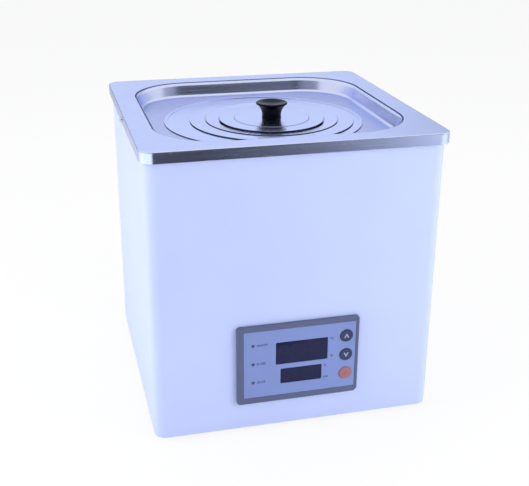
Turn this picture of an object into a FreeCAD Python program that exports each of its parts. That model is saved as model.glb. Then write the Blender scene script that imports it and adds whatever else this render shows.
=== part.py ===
import FreeCAD, Part
import math
import os
import re

import Sketcher

# A bench water bath: a folded painted casing, a pressed stainless top with a sunk tray,
# a drawn tank under it, nested rings and a lid on the tray, an immersion heater below a
# perforated shelf, and a temperature controller let into the front.
#
# Every sub-part is drawn about the vertical axis of the tank, with z = 0 on the table, and
# the front facing -Y. At the end all of them move along Y by the same amount, so that the
# origin lies on the table under the centre of the whole footprint, drain tap included.

Vector = FreeCAD.Vector

# Driving dimensions in millimetres, degrees where the name says so
SIZES = {
    # casing
    "body_height": 280.0,
    "foot_height": 5.0,
    "casing_overhang": 3.3,
    "casing_corner": 11.4,
    "casing_sheet": 1.0,
    "casing_flange": 14.0,
    # pressed top
    "plate_width": 280.0,
    "plate_corner": 12.0,
    "plate_sheet": 1.0,
    "plate_edge_radius": 1.4,
    "skirt_height": 10.5,
    "tray_margin": 22.8,
    "tray_corner": 56.7,
    "tray_depth": 15.5,
    "tray_wall_run": 3.7,
    "tray_rim_radius": 5.0,
    "tray_root_radius": 3.5,
    "mouth_gap": 0.6,
    # tank
    "tank_width": 196.0,
    "tank_corner": 36.0,
    "tank_sheet": 0.8,
    "tank_depth": 145.0,
    "tank_flange": 8.0,
    "tank_root_radius": 10.0,
    "insulation_thickness": 20.0,
    "insulation_gap": 0.3,
    # nested rings and lid
    "ring_sheet": 0.6,
    "ring_step": 1.0,
    "ring_bend": 0.4,
    "ring_1_radius": 98.5,
    "ring_1_lip": 1.3,
    "ring_1_seat": 95.0,
    "ring_1_hole": 71.0,
    "ring_2_radius": 81.7,
    "ring_2_lip": 1.7,
    "ring_2_seat": 66.6,
    "ring_2_hole": 60.5,
    "ring_3_radius": 66.0,
    "ring_3_lip": 1.1,
    "ring_3_seat": 52.6,
    "ring_3_hole": 47.5,
    "lid_radius": 52.0,
    "lid_boss_radius": 35.0,
    "lid_boss_height": 0.5,
    "lid_boss_slope": 1.5,
    "stack_shift": 8.4,
    # lid knob
    "knob_height": 16.1,
    "knob_rim_radius": 15.7,
    "knob_waist_radius": 9.4,
    "knob_waist_height": 2.2,
    "knob_base_radius": 9.7,
    "knob_toe_height": 0.8,
    "knob_rim_height": 1.6,
    "knob_rim_edge": 0.7,
    "knob_rim_bevel": 0.4,
    "knob_rim_round": 1.6,
    "knob_dish_depth": 2.2,
    "knob_dish_flat": 1.5,
    "knob_screw_radius": 2.5,
    "knob_screw_length": 12.0,
    "washer_radius": 7.0,
    "washer_sheet": 1.0,
    "knob_screw_head": 2.2,
    "knob_screw_head_height": 2.6,
    # controller in the front
    "bezel_width": 118.5,
    "bezel_height": 81.0,
    "bezel_rise": 67.8,
    "bezel_proud": 4.0,
    "bezel_corner": 3.0,
    "bezel_chamfer": 1.2,
    "frame_left": 6.3,
    "frame_right": 3.2,
    "frame_top": 5.2,
    "frame_bottom": 6.4,
    "face_sunk": 0.5,
    "face_sheet": 1.5,
    "case_border": 5.0,
    "case_depth": 62.0,
    "case_wall": 2.0,
    "case_gap": 0.3,
    "face_ledge": 1.5,
    "clamp_width": 8.0,
    "clamp_depth": 20.0,
    "clamp_height": 24.0,
    "upper_window_x": 3.1,
    "upper_window_z": 77.9,
    "upper_window_width": 50.6,
    "upper_window_height": 23.2,
    "lower_window_x": 2.7,
    "lower_window_z": 53.5,
    "lower_window_width": 40.4,
    "lower_window_height": 16.0,
    "window_sunk": 0.3,
    "window_thickness": 2.4,
    "window_gap": 0.1,
    "window_corner": 1.0,
    "display_depth": 8.0,
    "button_radius": 6.2,
    "button_proud": 1.0,
    "button_travel": 0.6,
    "button_x": 46.7,
    "button_gap": 0.25,
    "button_flange": 1.0,
    "button_stem_radius": 2.0,
    "switch_body": 6.0,
    "switch_height": 4.0,
    "up_button_z": 88.8,
    "button_pitch": 20.0,
    "lamp_x": -44.0,
    "lamp_z": 88.6,
    "lamp_pitch": 19.4,
    "lamp_radius": 1.5,
    "board_sheet": 1.6,
    # heater, shelf, probe
    "heater_radius": 4.0,
    "heater_rise": 22.0,
    "heater_half_width": 62.0,
    "heater_half_length": 60.0,
    "heater_leg_x": 26.0,
    "heater_bend": 14.0,
    "heater_tail": 22.0,
    "gasket_sheet": 1.5,
    "nut_height": 5.0,
    "shelf_width": 172.0,
    "shelf_corner": 26.0,
    "shelf_foot_half": 56.0,
    "shelf_sheet": 1.0,
    "shelf_height": 34.0,
    "shelf_hole_radius": 6.0,
    "shelf_hole_pitch": 32.0,
    "probe_radius": 3.0,
    "probe_length": 70.0,
    "probe_x": -76.0,
    "probe_y": 60.0,
    # rear
    "tap_x": 70.0,
    "tap_rise": 40.0,
    "tap_reach": 46.0,
    "tap_radius": 7.0,
    "tap_bore_radius": 2.7,
    "spigot_radius": 5.0,
    "spigot_length": 16.0,
    "outlet_y": 50.0,
    "tube_wall": 1.5,
    "tube_bend": 20.0,
    "running_gap": 0.05,
    "inlet_x": -70.0,
    "inlet_rise": 42.0,
    "switch_x": -70.0,
    "switch_rise": 78.0,
    "rocker_tilt_degrees": 9.0,
    "fuse_x": -38.0,
    "fuse_rise": 42.0,
    "cover_width": 222.0,
    "cover_height": 100.0,
    "cover_rise": 66.0,
    "cover_overlap": 8.0,
    "cover_sheet": 1.0,
    "inlet_width": 27.0,
    "inlet_height": 20.0,
    "inlet_depth": 22.0,
    "inlet_rim": 2.4,
    "switch_width": 13.0,
    "switch_length": 19.2,
    "switch_depth": 14.0,
    "switch_rim": 1.8,
    "fuse_radius": 6.0,
    "vent_width": 3.0,
    "vent_length": 44.0,
    "vent_pitch": 8.0,
    "vent_first_x": -8.0,
    "outlet_radius": 6.0,
    "plug_radius": 5.5,
    "plug_wall": 2.0,
    "plug_stem_radius": 2.5,
    "plug_top": 12.0,
    "lever_length": 26.0,
    "lever_sheet": 4.0,
    "lever_half_width": 5.0,
    "pin_width": 2.0,
    "pin_height": 4.0,
    "pin_pitch": 7.0,
    "pin_offset": 2.0,
    "pin_tail": 8.0,
    "socket_wall": 1.6,
    "socket_bevel": 4.0,
    "socket_depth": 17.4,
    "rocker_half_width": 5.2,
    "rocker_half_length": 7.7,
    "rocker_pivot_radius": 1.2,
    "rocker_crown": 1.0,
    "rocker_well": 9.0,
    "terminal_width": 4.8,
    "terminal_sheet": 0.8,
    "terminal_length": 8.0,
    "terminal_pitch": 9.0,
    "fuse_length": 30.0,
    "fuse_rim": 2.5,
    "fuse_rim_sheet": 2.0,
    "fuse_cap_radius": 4.5,
    "fuse_cap_depth": 12.0,
    "fuse_cap_height": 7.0,
    "fuse_cap_rim": 0.5,
    "post_height": 6.0,
    "post_radius": 3.0,
    "post_inset": 4.0,
    "board_border": 6.0,
    "board_back_gap": 4.0,
    "relay_x": 18.0,
    "relay_y": 8.0,
    "relay_width": 19.0,
    "relay_height": 15.5,
    "transformer_x": -20.0,
    "transformer_y": 16.0,
    "core_width": 30.0,
    "core_length": 10.0,
    "core_height": 25.0,
    "winding_width": 22.0,
    "winding_length": 20.0,
    "winding_height": 20.0,
    "block_width": 64.0,
    "block_height": 14.0,
    "block_depth": 12.0,
    "block_pitch": 7.6,
    "block_hole_radius": 2.4,
    "block_hole_depth": 3.0,
    # feet and screws
    "foot_inset": 27.0,
    "foot_radius": 9.0,
    "screw_radius": 1.5,
    "screw_head_radius": 2.9,
    "screw_head_height": 1.8,
    "screw_length": 8.0,
}

# Derived sizes, as expressions of the driving ones
PLATE_HALF = "(plate_width / 2)"
CASING_HALF = "(plate_width / 2 - casing_overhang)"
CASING_INSIDE = f"({CASING_HALF} - casing_sheet)"
BASE_TOP = "(foot_height + casing_sheet + casing_sheet)"
TOP = "(foot_height + body_height)"
TRAY = f"({TOP} - tray_depth)"
TRAY_UNDER = f"({TRAY} - plate_sheet)"
MOUTH = "(ring_1_seat + ring_sheet + mouth_gap)"
TANK_HALF = "(tank_width / 2)"
TANK_FLOOR = f"({TRAY_UNDER} - tank_depth)"
TANK_UNDER = f"({TANK_FLOOR} - tank_sheet)"
SEAT_1 = f"({TRAY} + ring_1_lip - ring_step)"
SEAT_2 = f"({SEAT_1} + ring_2_lip - ring_step)"
SEAT_3 = f"({SEAT_2} + ring_3_lip - ring_step)"
LID_TOP = f"({SEAT_3} + ring_3_lip + lid_boss_height)"
SKIRT_SCREW_Z = f"({TOP} - skirt_height / 2 - 2)"
PANEL_Z = "(foot_height + bezel_rise)"
FACE_FRONT = f"({CASING_HALF} + bezel_proud - face_sunk)"
FACE_BACK = f"({FACE_FRONT} - face_sheet)"
WINDOW_BACK = f"({FACE_FRONT} - window_sunk - window_thickness)"
BOARD_FRONT = f"({WINDOW_BACK} - display_depth)"
CASE_HALF_X = "(bezel_width / 2 - case_border)"
CASE_HALF_Z = "(bezel_height / 2 - case_border)"
FRONT_REACH = "(bezel_proud - face_sunk + button_proud)"
FOOTPRINT_SHIFT = f"((tap_reach - {FRONT_REACH}) / 2)"

doc = FreeCAD.newDocument("water_bath")
sheet = doc.addObject("Spreadsheet::Sheet", "sizes")
for row, (alias, value) in enumerate(SIZES.items(), start=1):
    sheet.set(f"A{row}", alias)
    sheet.set(f"B{row}", str(value))
    sheet.setAlias(f"B{row}", alias)
doc.recompute()

subparts = {}


def in_sheet(expression):
    """The expression with each driving dimension written as a cell of the sheet."""
    return re.sub(
        r"[a-z][a-z_0-9]*",
        lambda word: "sizes." + word.group() if word.group() in SIZES else word.group(),
        expression,
    )


def number(expression):
    """The value that an expression has now."""
    return float(sheet.evalExpression(in_sheet(expression)))


def bind(thing, field, expression):
    """Ties one property of a feature to the sheet."""
    thing.setExpression(field, in_sheet(expression))


def keep(thing, node):
    """Names a finished sub-part: the label is also the name of its file."""
    thing.Label = node
    subparts[node] = thing
    return thing


def new_body(node, x="0"):
    """A body for one sub-part; x moves it sideways as a whole."""
    body = keep(doc.addObject("PartDesign::Body", node), node)
    bind(body, "Placement.Base.x", x)
    bind(body, "Placement.Base.y", f"-{FOOTPRINT_SHIFT}")
    return body


def new_sketch(body, role, place=("0", "0", "0")):
    """A sketch on one of the body's origin planes, moved within the plane's own axes."""
    sketch = body.newObject("Sketcher::SketchObject", "outline")
    plane = next(f for f in body.Origin.OriginFeatures if f.Role == role)
    sketch.AttachmentSupport = [(plane, "")]
    sketch.MapMode = "FlatFace"
    for field, expression in zip("xyz", place):
        bind(sketch, f"AttachmentOffset.Base.{field}", expression)
    return sketch


def dimension(sketch, kind, places, expression):
    """A constraint that is bound to the sheet."""
    index = sketch.addConstraint(Sketcher.Constraint(kind, *places, number(expression)))
    bind(sketch, f"Constraints[{index}]", expression)


def pin_point(sketch, edge, end, x, y):
    """Fixes one end or centre of a sketch edge."""
    for kind, expression, axis in (("DistanceX", x, -2), ("DistanceY", y, -1)):
        if expression == "0":
            sketch.addConstraint(Sketcher.Constraint("PointOnObject", edge, end, axis))
        else:
            dimension(sketch, kind, (-1, 1, edge, end), expression)


def arc_between(start, finish, radius, side):
    """The shorter arc from start to finish; side +1 puts its centre on the left."""
    middle = (start + finish) / 2
    along = finish - start
    rise = math.sqrt(max(radius**2 - (along.Length / 2) ** 2, 0))
    centre = middle + Vector(-along.y, along.x, 0).normalize() * rise * side
    first, last = (start, finish) if side > 0 else (finish, start)
    angles = [math.atan2(p.y - centre.y, p.x - centre.x) for p in (first, last)]
    circle = Part.Circle(centre, Vector(0, 0, 1), radius)
    return Part.ArcOfCircle(circle, angles[0], angles[1])


def draw_profile(sketch, points, arcs=None):
    """A closed outline. arcs gives, for an edge's number, its (radius, side)."""
    arcs = arcs or {}
    spots = [Vector(number(x), number(y), 0) for x, y in points]
    count = len(points)
    ends = []
    for i, (start, finish) in enumerate(zip(spots, spots[1:] + spots[:1])):
        if i in arcs:
            radius, side = arcs[i]
            edge = sketch.addGeometry(arc_between(start, finish, number(radius), side))
            ends.append((edge, 1, 2) if side > 0 else (edge, 2, 1))
        else:
            edge = sketch.addGeometry(Part.LineSegment(start, finish))
            ends.append((edge, 1, 2))
    for i in range(count):
        edge, _, last = ends[i]
        after, first, _ = ends[(i + 1) % count]
        sketch.addConstraint(Sketcher.Constraint("Coincident", edge, last, after, first))
    for i, (x, y) in enumerate(points):
        pin_point(sketch, ends[i][0], ends[i][1], x, y)
    for i, (radius, _) in arcs.items():
        dimension(sketch, "Radius", (ends[i][0],), radius)


def draw_rounded(sketch, half_x, half_y, radius, x="0", y="0", flat=None):
    """A rectangle with rounded corners about the point x, y; the flat one is cut straight."""
    points = []
    corners = ((-1, -1), (1, -1), (1, 1), (-1, 1))
    for turn, (a, b) in enumerate(corners):
        full = (f"{x} + {a} * ({half_x})", f"{y} + {b} * ({half_y})")
        near = (f"{x} + {a} * ({half_x} - {radius})", f"{y} + {b} * ({half_y} - {radius})")
        before, after = (full[0], near[1]), (near[0], full[1])
        points += [after, before] if turn % 2 else [before, after]
    arcs = {2 * i: (radius, 1) for i in range(4) if i != flat}
    draw_profile(sketch, points, arcs)


def draw_rectangle(sketch, low_x, low_y, high_x, high_y):
    """A sharp rectangle from its lowest to its highest corner."""
    draw_profile(sketch, [(low_x, low_y), (high_x, low_y), (high_x, high_y), (low_x, high_y)])


def draw_circle(sketch, radius, x="0", y="0"):
    """A full circle."""
    centre = Vector(number(x), number(y), 0)
    edge = sketch.addGeometry(Part.Circle(centre, Vector(0, 0, 1), number(radius)))
    dimension(sketch, "Radius", (edge,), radius)
    pin_point(sketch, edge, 3, x, y)


def extrude(sketch, length, cut=False, back=False, taper=None):
    """A pad along the sketch's normal, or a pocket against it; back turns either round."""
    kind = "Pocket" if cut else "Pad"
    body = sketch.getParentGeoFeatureGroup()
    feature = body.newObject(f"PartDesign::{kind}", kind.lower())
    feature.Profile = sketch
    feature.Reversed = back
    bind(feature, "Length", length)
    if taper:
        bind(feature, "TaperAngle", taper)
    return feature


def slab(body, role, place, half_x, half_y, radius, length, cut=False, back=False, taper=None):
    """Adds or cuts a block with rounded corners."""
    sketch = new_sketch(body, role, place)
    draw_rounded(sketch, half_x, half_y, radius)
    return extrude(sketch, length, cut, back, taper)


def turn(body, axis, place, profile, arcs=None, cut=False):
    """Revolves (radius, distance along) points about an axis through place."""
    x, y, z = place
    if axis == "z":
        sketch = new_sketch(body, "XZ_Plane", (x, z, f"-({y})"))
    else:
        sketch = new_sketch(body, "XY_Plane", place)
    if axis == "x":
        profile = [(along, radius) for radius, along in profile]
        arcs = {i: (radius, -side) for i, (radius, side) in (arcs or {}).items()}
    draw_profile(sketch, profile, arcs)
    kind = "Groove" if cut else "Revolution"
    feature = body.newObject(f"PartDesign::{kind}", kind.lower())
    feature.Profile = sketch
    feature.ReferenceAxis = (sketch, ["H_Axis" if axis == "x" else "V_Axis"])
    feature.Angle = 360
    return feature


def tube_profile(inner, outer, low, high):
    """The section of a plain ring or tube for turn."""
    return [(inner, low), (outer, low), (outer, high), (inner, high)]


def round_over(body, radius, wanted, kind="Fillet"):
    """Rounds or chamfers those edges of the body, as it stands, that wanted picks."""
    doc.recompute()
    base = body.Tip
    names = [f"Edge{i}" for i, e in enumerate(base.Shape.Edges, start=1) if wanted(e)]
    feature = body.newObject(f"PartDesign::{kind}", kind.lower())
    feature.Base = (base, names)
    bind(feature, "Radius" if kind == "Fillet" else "Size", radius)
    return feature


def level_edge(z, inside=None, outside=None):
    """A test for edges that lie at one height, within a half width or beyond one."""

    def test(edge):
        box = edge.BoundBox
        reach = max(abs(box.XMax), abs(box.XMin), abs(box.YMax), abs(box.YMin))
        flat = abs(box.ZMin - z) < 1e-4 and abs(box.ZMax - z) < 1e-4
        near = inside is None or reach < inside
        far = outside is None or reach > outside
        return flat and near and far

    return test


def block(node, low, high):
    """A plain box between two corners."""
    box = keep(doc.addObject("Part::Box", node), node)
    for field, a, b in zip(("Length", "Width", "Height"), low, high):
        bind(box, field, f"({b}) - ({a})")
    bind(box, "Placement.Base.x", low[0])
    bind(box, "Placement.Base.y", f"{low[1]} - {FOOTPRINT_SHIFT}")
    bind(box, "Placement.Base.z", low[2])
    return box


def add_screw(body, axis, place, sign):
    """A pan-head screw whose head sits on place; sign is the side the head is on."""
    head = f"{sign} * screw_head_height"
    tip = f"{-sign} * screw_length"
    profile = [
        ("0", tip),
        ("screw_radius", tip),
        ("screw_radius", "0"),
        ("screw_head_radius", "0"),
        ("screw_head_radius", f"{head} / 2"),
        ("screw_head_radius * 0.55", head),
        ("0", head),
    ]
    turn(body, axis, place, profile)


def hexagon(across_flats):
    """The corners of a hexagon for draw_profile, about the sketch's centre."""
    corner = f"({across_flats}) / 2 / cos(30)"
    return [
        (f"{corner} * {math.cos(math.radians(a)):.6f}", f"{corner} * {math.sin(math.radians(a)):.6f}")
        for a in range(0, 360, 60)
    ]


def mirrored_x(x):
    """The two mirror places of one distance from the middle plane."""
    return (f"-{x}", x)


# Casing: one sheet folded round four corners, with a lip turned in below, a window for
# the controller in front and a service opening behind.
housing = new_body("housing")
slab(
    housing, "XY_Plane", ("0", "0", "foot_height"),
    CASING_HALF, CASING_HALF, "casing_corner", "body_height - plate_sheet",
)
slab(
    housing, "XY_Plane", ("0", "0", "foot_height + casing_sheet"),
    CASING_INSIDE, CASING_INSIDE, "(casing_corner - casing_sheet)", "body_height", cut=True, back=True,
)
LIP_EDGE = f"({CASING_INSIDE} - casing_flange)"
slab(
    housing, "XY_Plane", ("0", "0", "foot_height + casing_sheet"),
    LIP_EDGE, LIP_EDGE, "casing_corner", "2 * casing_sheet", cut=True,
)
window = new_sketch(housing, "XZ_Plane", ("0", "0", CASING_HALF))
draw_rounded(
    window, f"({CASE_HALF_X} + case_gap)", f"({CASE_HALF_Z} + case_gap)", "bezel_corner", "0", PANEL_Z
)
extrude(window, "2 * casing_sheet", cut=True)
opening = new_sketch(housing, "XZ_Plane", ("0", "0", f"-({CASING_HALF} - 2 * casing_sheet)"))
COVER_Z = "(foot_height + cover_rise)"
draw_rounded(
    opening,
    "(cover_width / 2 - cover_overlap)",
    "(cover_height / 2 - cover_overlap)",
    "bezel_corner",
    "0",
    COVER_Z,
)
extrude(opening, "3 * casing_sheet", cut=True)

# The top plate is held by one small screw in the middle of the left, right and rear skirt.
SCREW_HOLE = "(screw_radius + running_gap)"
side_holes = new_sketch(housing, "YZ_Plane", ("0", "0", f"-{PLATE_HALF}"))
draw_circle(side_holes, SCREW_HOLE, "0", SKIRT_SCREW_Z)
extrude(side_holes, "plate_width", cut=True, back=True)
rear_hole = new_sketch(housing, "XZ_Plane", ("0", "0", f"-({CASING_HALF} - 2 * casing_sheet)"))
draw_circle(rear_hole, SCREW_HOLE, "0", SKIRT_SCREW_Z)
extrude(rear_hole, "3 * casing_sheet", cut=True)

COVER_SCREW_X = "(cover_width / 2 - cover_overlap / 2)"
COVER_SCREW_Z = "(cover_height / 2 - cover_overlap)"
COVER_SCREWS = [
    (f"{a} * {COVER_SCREW_X}", f"{COVER_Z} + {b} * {COVER_SCREW_Z}") for a in (-1, 1) for b in (-1, 1)
]
BASE_SCREW = f"({CASING_INSIDE} - casing_flange / 2)"
BASE_SCREWS = [(x, "0") for x in mirrored_x(BASE_SCREW)] + [("0", y) for y in mirrored_x(BASE_SCREW)]
cover_holes = new_sketch(housing, "XZ_Plane", ("0", "0", f"-({CASING_HALF} - 2 * casing_sheet)"))
for x, z in COVER_SCREWS:
    draw_circle(cover_holes, SCREW_HOLE, x, z)
extrude(cover_holes, "3 * casing_sheet", cut=True)
base_holes = new_sketch(housing, "XY_Plane", ("0", "0", "foot_height + casing_sheet"))
for x, y in BASE_SCREWS:
    draw_circle(base_holes, SCREW_HOLE, x, y)
extrude(base_holes, "2 * casing_sheet", cut=True)

# Bottom tray, resting on the lip of the casing, with air slots
base_plate = new_body("base_plate")
BASE_HALF = f"({CASING_INSIDE} - case_gap)"
slab(
    base_plate, "XY_Plane", ("0", "0", "foot_height + casing_sheet"),
    BASE_HALF, BASE_HALF, "(casing_corner - casing_sheet)", "casing_sheet",
)
slots = new_sketch(base_plate, "XY_Plane", ("0", "0", BASE_TOP))
for column in (-1, 1):
    for line in range(-2, 3):
        draw_rounded(
            slots,
            "vent_length / 2",
            "vent_width / 2",
            "(vent_width * 0.45)",
            f"{column} * vent_length * 0.8",
            f"{line} * vent_pitch * 1.6",
        )
extrude(slots, "2 * casing_sheet", cut=True)
lip_holes = new_sketch(base_plate, "XY_Plane", ("0", "0", BASE_TOP))
for x, y in BASE_SCREWS:
    draw_circle(lip_holes, SCREW_HOLE, x, y)
extrude(lip_holes, "2 * casing_sheet", cut=True)
base_screws = new_body("base_screws")
for x, y in BASE_SCREWS:
    add_screw(base_screws, "z", (x, y, "foot_height"), -1)

# Four rubber feet, each with a screw from below through the bottom tray
FOOT = f"({CASING_HALF} - foot_inset)"
foot_holes = new_sketch(base_plate, "XY_Plane", ("0", "0", BASE_TOP))
feet = new_body("feet")
foot_screws = new_body("foot_screws")
FOOT_TOP = "(foot_height + casing_sheet)"
for x in mirrored_x(FOOT):
    for y in mirrored_x(FOOT):
        draw_circle(foot_holes, SCREW_HOLE, x, y)
        turn(
            feet,
            "z",
            (x, y, "0"),
            [
                (SCREW_HOLE, f"{FOOT_TOP} - 2 * casing_sheet"),
                ("screw_head_radius + running_gap", f"{FOOT_TOP} - 2 * casing_sheet"),
                ("screw_head_radius + 2 * running_gap", "0"),
                ("foot_radius - 1", "0"),
                ("foot_radius", FOOT_TOP),
                (SCREW_HOLE, FOOT_TOP),
            ],
        )
        add_screw(foot_screws, "z", (x, y, f"{FOOT_TOP} - 2 * casing_sheet"), -1)
extrude(foot_holes, "2 * casing_sheet", cut=True)

# Service cover behind the rear opening, with the tap, the inlet, the switch and the fuse
COVER_BACK = f"({CASING_INSIDE} - cover_sheet)"
rear_cover = new_body("rear_cover")
plate = new_sketch(rear_cover, "XZ_Plane", ("0", "0", f"-{COVER_BACK}"))
draw_rounded(plate, "cover_width / 2", "cover_height / 2", "bezel_corner", "0", COVER_Z)
extrude(plate, "cover_sheet", back=True)
TAP_Z = "(foot_height + tap_rise)"
INLET_Z = "(foot_height + inlet_rise)"
SWITCH_Z = "(foot_height + switch_rise)"
FUSE_Z = "(foot_height + fuse_rise)"
cuts = new_sketch(rear_cover, "XZ_Plane", ("0", "0", f"-{COVER_BACK}"))
draw_circle(cuts, "tap_radius + running_gap", "tap_x", TAP_Z)
draw_circle(cuts, "fuse_radius + running_gap", "fuse_x", FUSE_Z)
draw_rounded(
    cuts, "inlet_width / 2 + running_gap", "inlet_height / 2 + running_gap",
    "window_corner", "inlet_x", INLET_Z,
)
draw_rounded(
    cuts, "switch_width / 2 + running_gap", "switch_length / 2 + running_gap",
    "window_corner", "switch_x", SWITCH_Z,
)
for x, z in COVER_SCREWS:
    draw_circle(cuts, SCREW_HOLE, x, z)
for column in range(5):
    draw_rounded(
        cuts,
        "vent_width / 2",
        "vent_length / 2",
        "(vent_width * 0.45)",
        f"vent_first_x + {column} * vent_pitch",
        COVER_Z,
    )
extrude(cuts, "2 * cover_sheet", cut=True)
cover_screws = new_body("cover_screws")
for x, z in COVER_SCREWS:
    add_screw(cover_screws, "y", (x, CASING_HALF, z), 1)

# Pressed stainless top: a skirt all round, a tray sunk into it and a round mouth
top_plate = new_body("top_plate")
SKIRT_BOTTOM = f"({TOP} - skirt_height)"
WALL_ANGLE = "atan(tray_wall_run / tray_depth)"
WALL_OUT = f"(plate_sheet / cos({WALL_ANGLE}))"
TRAY_HALF = f"({PLATE_HALF} - tray_margin)"
slab(
    top_plate, "XY_Plane", ("0", "0", SKIRT_BOTTOM),
    PLATE_HALF, PLATE_HALF, "plate_corner", "skirt_height",
)
INSIDE_SKIRT = f"({PLATE_HALF} - plate_sheet)"
slab(
    top_plate, "XY_Plane", ("0", "0", SKIRT_BOTTOM),
    INSIDE_SKIRT, INSIDE_SKIRT, "(plate_corner - plate_sheet)", "skirt_height - plate_sheet",
    cut=True, back=True,
)
SUNK_HALF = f"({TRAY_HALF} + {WALL_OUT})"
slab(
    top_plate, "XY_Plane", ("0", "0", TOP),
    SUNK_HALF, SUNK_HALF, f"(tray_corner + {WALL_OUT})", "tray_depth + plate_sheet",
    back=True, taper=f"-{WALL_ANGLE}",
)
UNDER_RIM = level_edge(number(f"{TOP} - plate_sheet"), inside=number(f"{TRAY_HALF} + tray_wall_run"))
round_over(top_plate, "(tray_rim_radius - plate_sheet)", UNDER_RIM)
slab(
    top_plate, "XY_Plane", ("0", "0", TOP),
    TRAY_HALF, TRAY_HALF, "tray_corner", "tray_depth", cut=True, taper=f"-{WALL_ANGLE}",
)
round_over(top_plate, "tray_rim_radius", level_edge(number(TOP), inside=number(TRAY_HALF) + 0.01))
round_over(top_plate, "tray_root_radius", level_edge(number(TRAY)))
round_over(top_plate, "(tray_root_radius + plate_sheet)", level_edge(number(TRAY_UNDER)))
round_over(top_plate, "plate_edge_radius", level_edge(number(TOP), outside=number(PLATE_HALF) - 0.01))
mouth = new_sketch(top_plate, "XY_Plane", ("0", "0", TRAY))
draw_circle(mouth, MOUTH)
extrude(mouth, "2 * plate_sheet", cut=True)
for start, back in ((f"-{PLATE_HALF}", True), (PLATE_HALF, False)):
    side_hole = new_sketch(top_plate, "YZ_Plane", ("0", SKIRT_SCREW_Z, start))
    draw_circle(side_hole, SCREW_HOLE)
    extrude(side_hole, "3 * plate_sheet", cut=True, back=back)
rear_hole = new_sketch(top_plate, "XZ_Plane", ("0", "0", f"-({PLATE_HALF} - 2 * plate_sheet)"))
draw_circle(rear_hole, SCREW_HOLE, "0", SKIRT_SCREW_Z)
extrude(rear_hole, "3 * plate_sheet", cut=True)
top_plate_screws = new_body("top_plate_screws")
for sign in (-1, 1):
    add_screw(top_plate_screws, "x", (f"{sign} * {PLATE_HALF}", "0", SKIRT_SCREW_Z), sign)
add_screw(top_plate_screws, "y", ("0", PLATE_HALF, SKIRT_SCREW_Z), 1)

# Drawn tank with a flange against the underside of the tray
tank = new_body("tank")
TANK_OUT = f"({TANK_HALF} + tank_sheet)"
slab(
    tank, "XY_Plane", ("0", "0", TANK_UNDER),
    TANK_OUT, TANK_OUT, "(tank_corner + tank_sheet)", "tank_depth + tank_sheet",
)
FLANGE_HALF = f"({TANK_OUT} + tank_flange)"
slab(
    tank, "XY_Plane", ("0", "0", TRAY_UNDER),
    FLANGE_HALF, FLANGE_HALF, "(tank_corner + tank_sheet + tank_flange)", "tank_sheet", back=True,
)
slab(tank, "XY_Plane", ("0", "0", TRAY_UNDER), TANK_HALF, TANK_HALF, "tank_corner", "tank_depth", cut=True)
round_over(tank, "tank_root_radius", level_edge(number(TANK_FLOOR)))
round_over(tank, "(tank_root_radius + tank_sheet)", level_edge(number(TANK_UNDER)))
HEATER_Y = "heater_half_length"
THROUGH_TANK = [
    ("heater_radius", x, HEATER_Y) for x in mirrored_x("heater_leg_x")
] + [("probe_radius", "probe_x", "probe_y"), ("outlet_radius", "tap_x", "outlet_y")]
ports = new_sketch(tank, "XY_Plane", ("0", "0", TANK_FLOOR))
for radius, x, y in THROUGH_TANK:
    draw_circle(ports, f"{radius} + running_gap", x, y)
extrude(ports, "2 * tank_sheet", cut=True)

# Each fitting through the tank floor has a gasket and a nut underneath
gaskets = new_body("tank_gaskets")
nuts = new_body("tank_nuts")
for radius, x, y in THROUGH_TANK:
    bore = f"({radius} + running_gap)"
    below = f"({TANK_UNDER} - gasket_sheet)"
    turn(gaskets, "z", (x, y, below), tube_profile(bore, f"{radius} + 4.5", "0", "gasket_sheet"))
    nut = new_sketch(nuts, "XY_Plane", (x, y, below))
    draw_profile(nut, hexagon(f"2 * {radius} + 8"))
    draw_circle(nut, bore)
    extrude(nut, "nut_height", back=True)

# Glass-wool sleeve round the tank
insulation = new_body("tank_insulation")
outline = new_sketch(insulation, "XY_Plane", ("0", "0", TANK_FLOOR))
SLEEVE_IN = f"({TANK_OUT} + insulation_gap)"
SLEEVE_OUT = f"({SLEEVE_IN} + insulation_thickness)"
SLEEVE_CORNER = "(tank_corner + tank_sheet + insulation_gap)"
draw_rounded(outline, SLEEVE_OUT, SLEEVE_OUT, f"({SLEEVE_CORNER} + insulation_thickness)")
draw_rounded(outline, SLEEVE_IN, SLEEVE_IN, SLEEVE_CORNER)
extrude(outline, "tank_depth - tank_sheet")


def pressed_ring(node, x, base, radius, lip, seat, hole):
    """A ring with a turned-down edge and a lowered inner ledge that carries the next one."""
    ring = new_body(node, x)
    ledge = f"{lip} - ring_step"
    profile = [
        (radius, "0"),
        (radius, lip),
        (seat, lip),
        (seat, ledge),
        (hole, ledge),
        (hole, f"{ledge} - ring_sheet"),
        (f"{seat} + ring_sheet", f"{ledge} - ring_sheet"),
        (f"{seat} + ring_sheet", f"{lip} - ring_sheet"),
        (f"{radius} - ring_sheet", f"{lip} - ring_sheet"),
        (f"{radius} - ring_sheet", "0"),
    ]
    turn(ring, "z", ("0", "0", base), profile)
    crest = number(f"{base} + {lip}")
    round_over(ring, "ring_bend", level_edge(crest))
    return ring


pressed_ring("ring_1", "0", TRAY, "ring_1_radius", "ring_1_lip", "ring_1_seat", "ring_1_hole")
pressed_ring("ring_2", "stack_shift", SEAT_1, "ring_2_radius", "ring_2_lip", "ring_2_seat", "ring_2_hole")
pressed_ring("ring_3", "stack_shift", SEAT_2, "ring_3_radius", "ring_3_lip", "ring_3_seat", "ring_3_hole")

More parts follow.
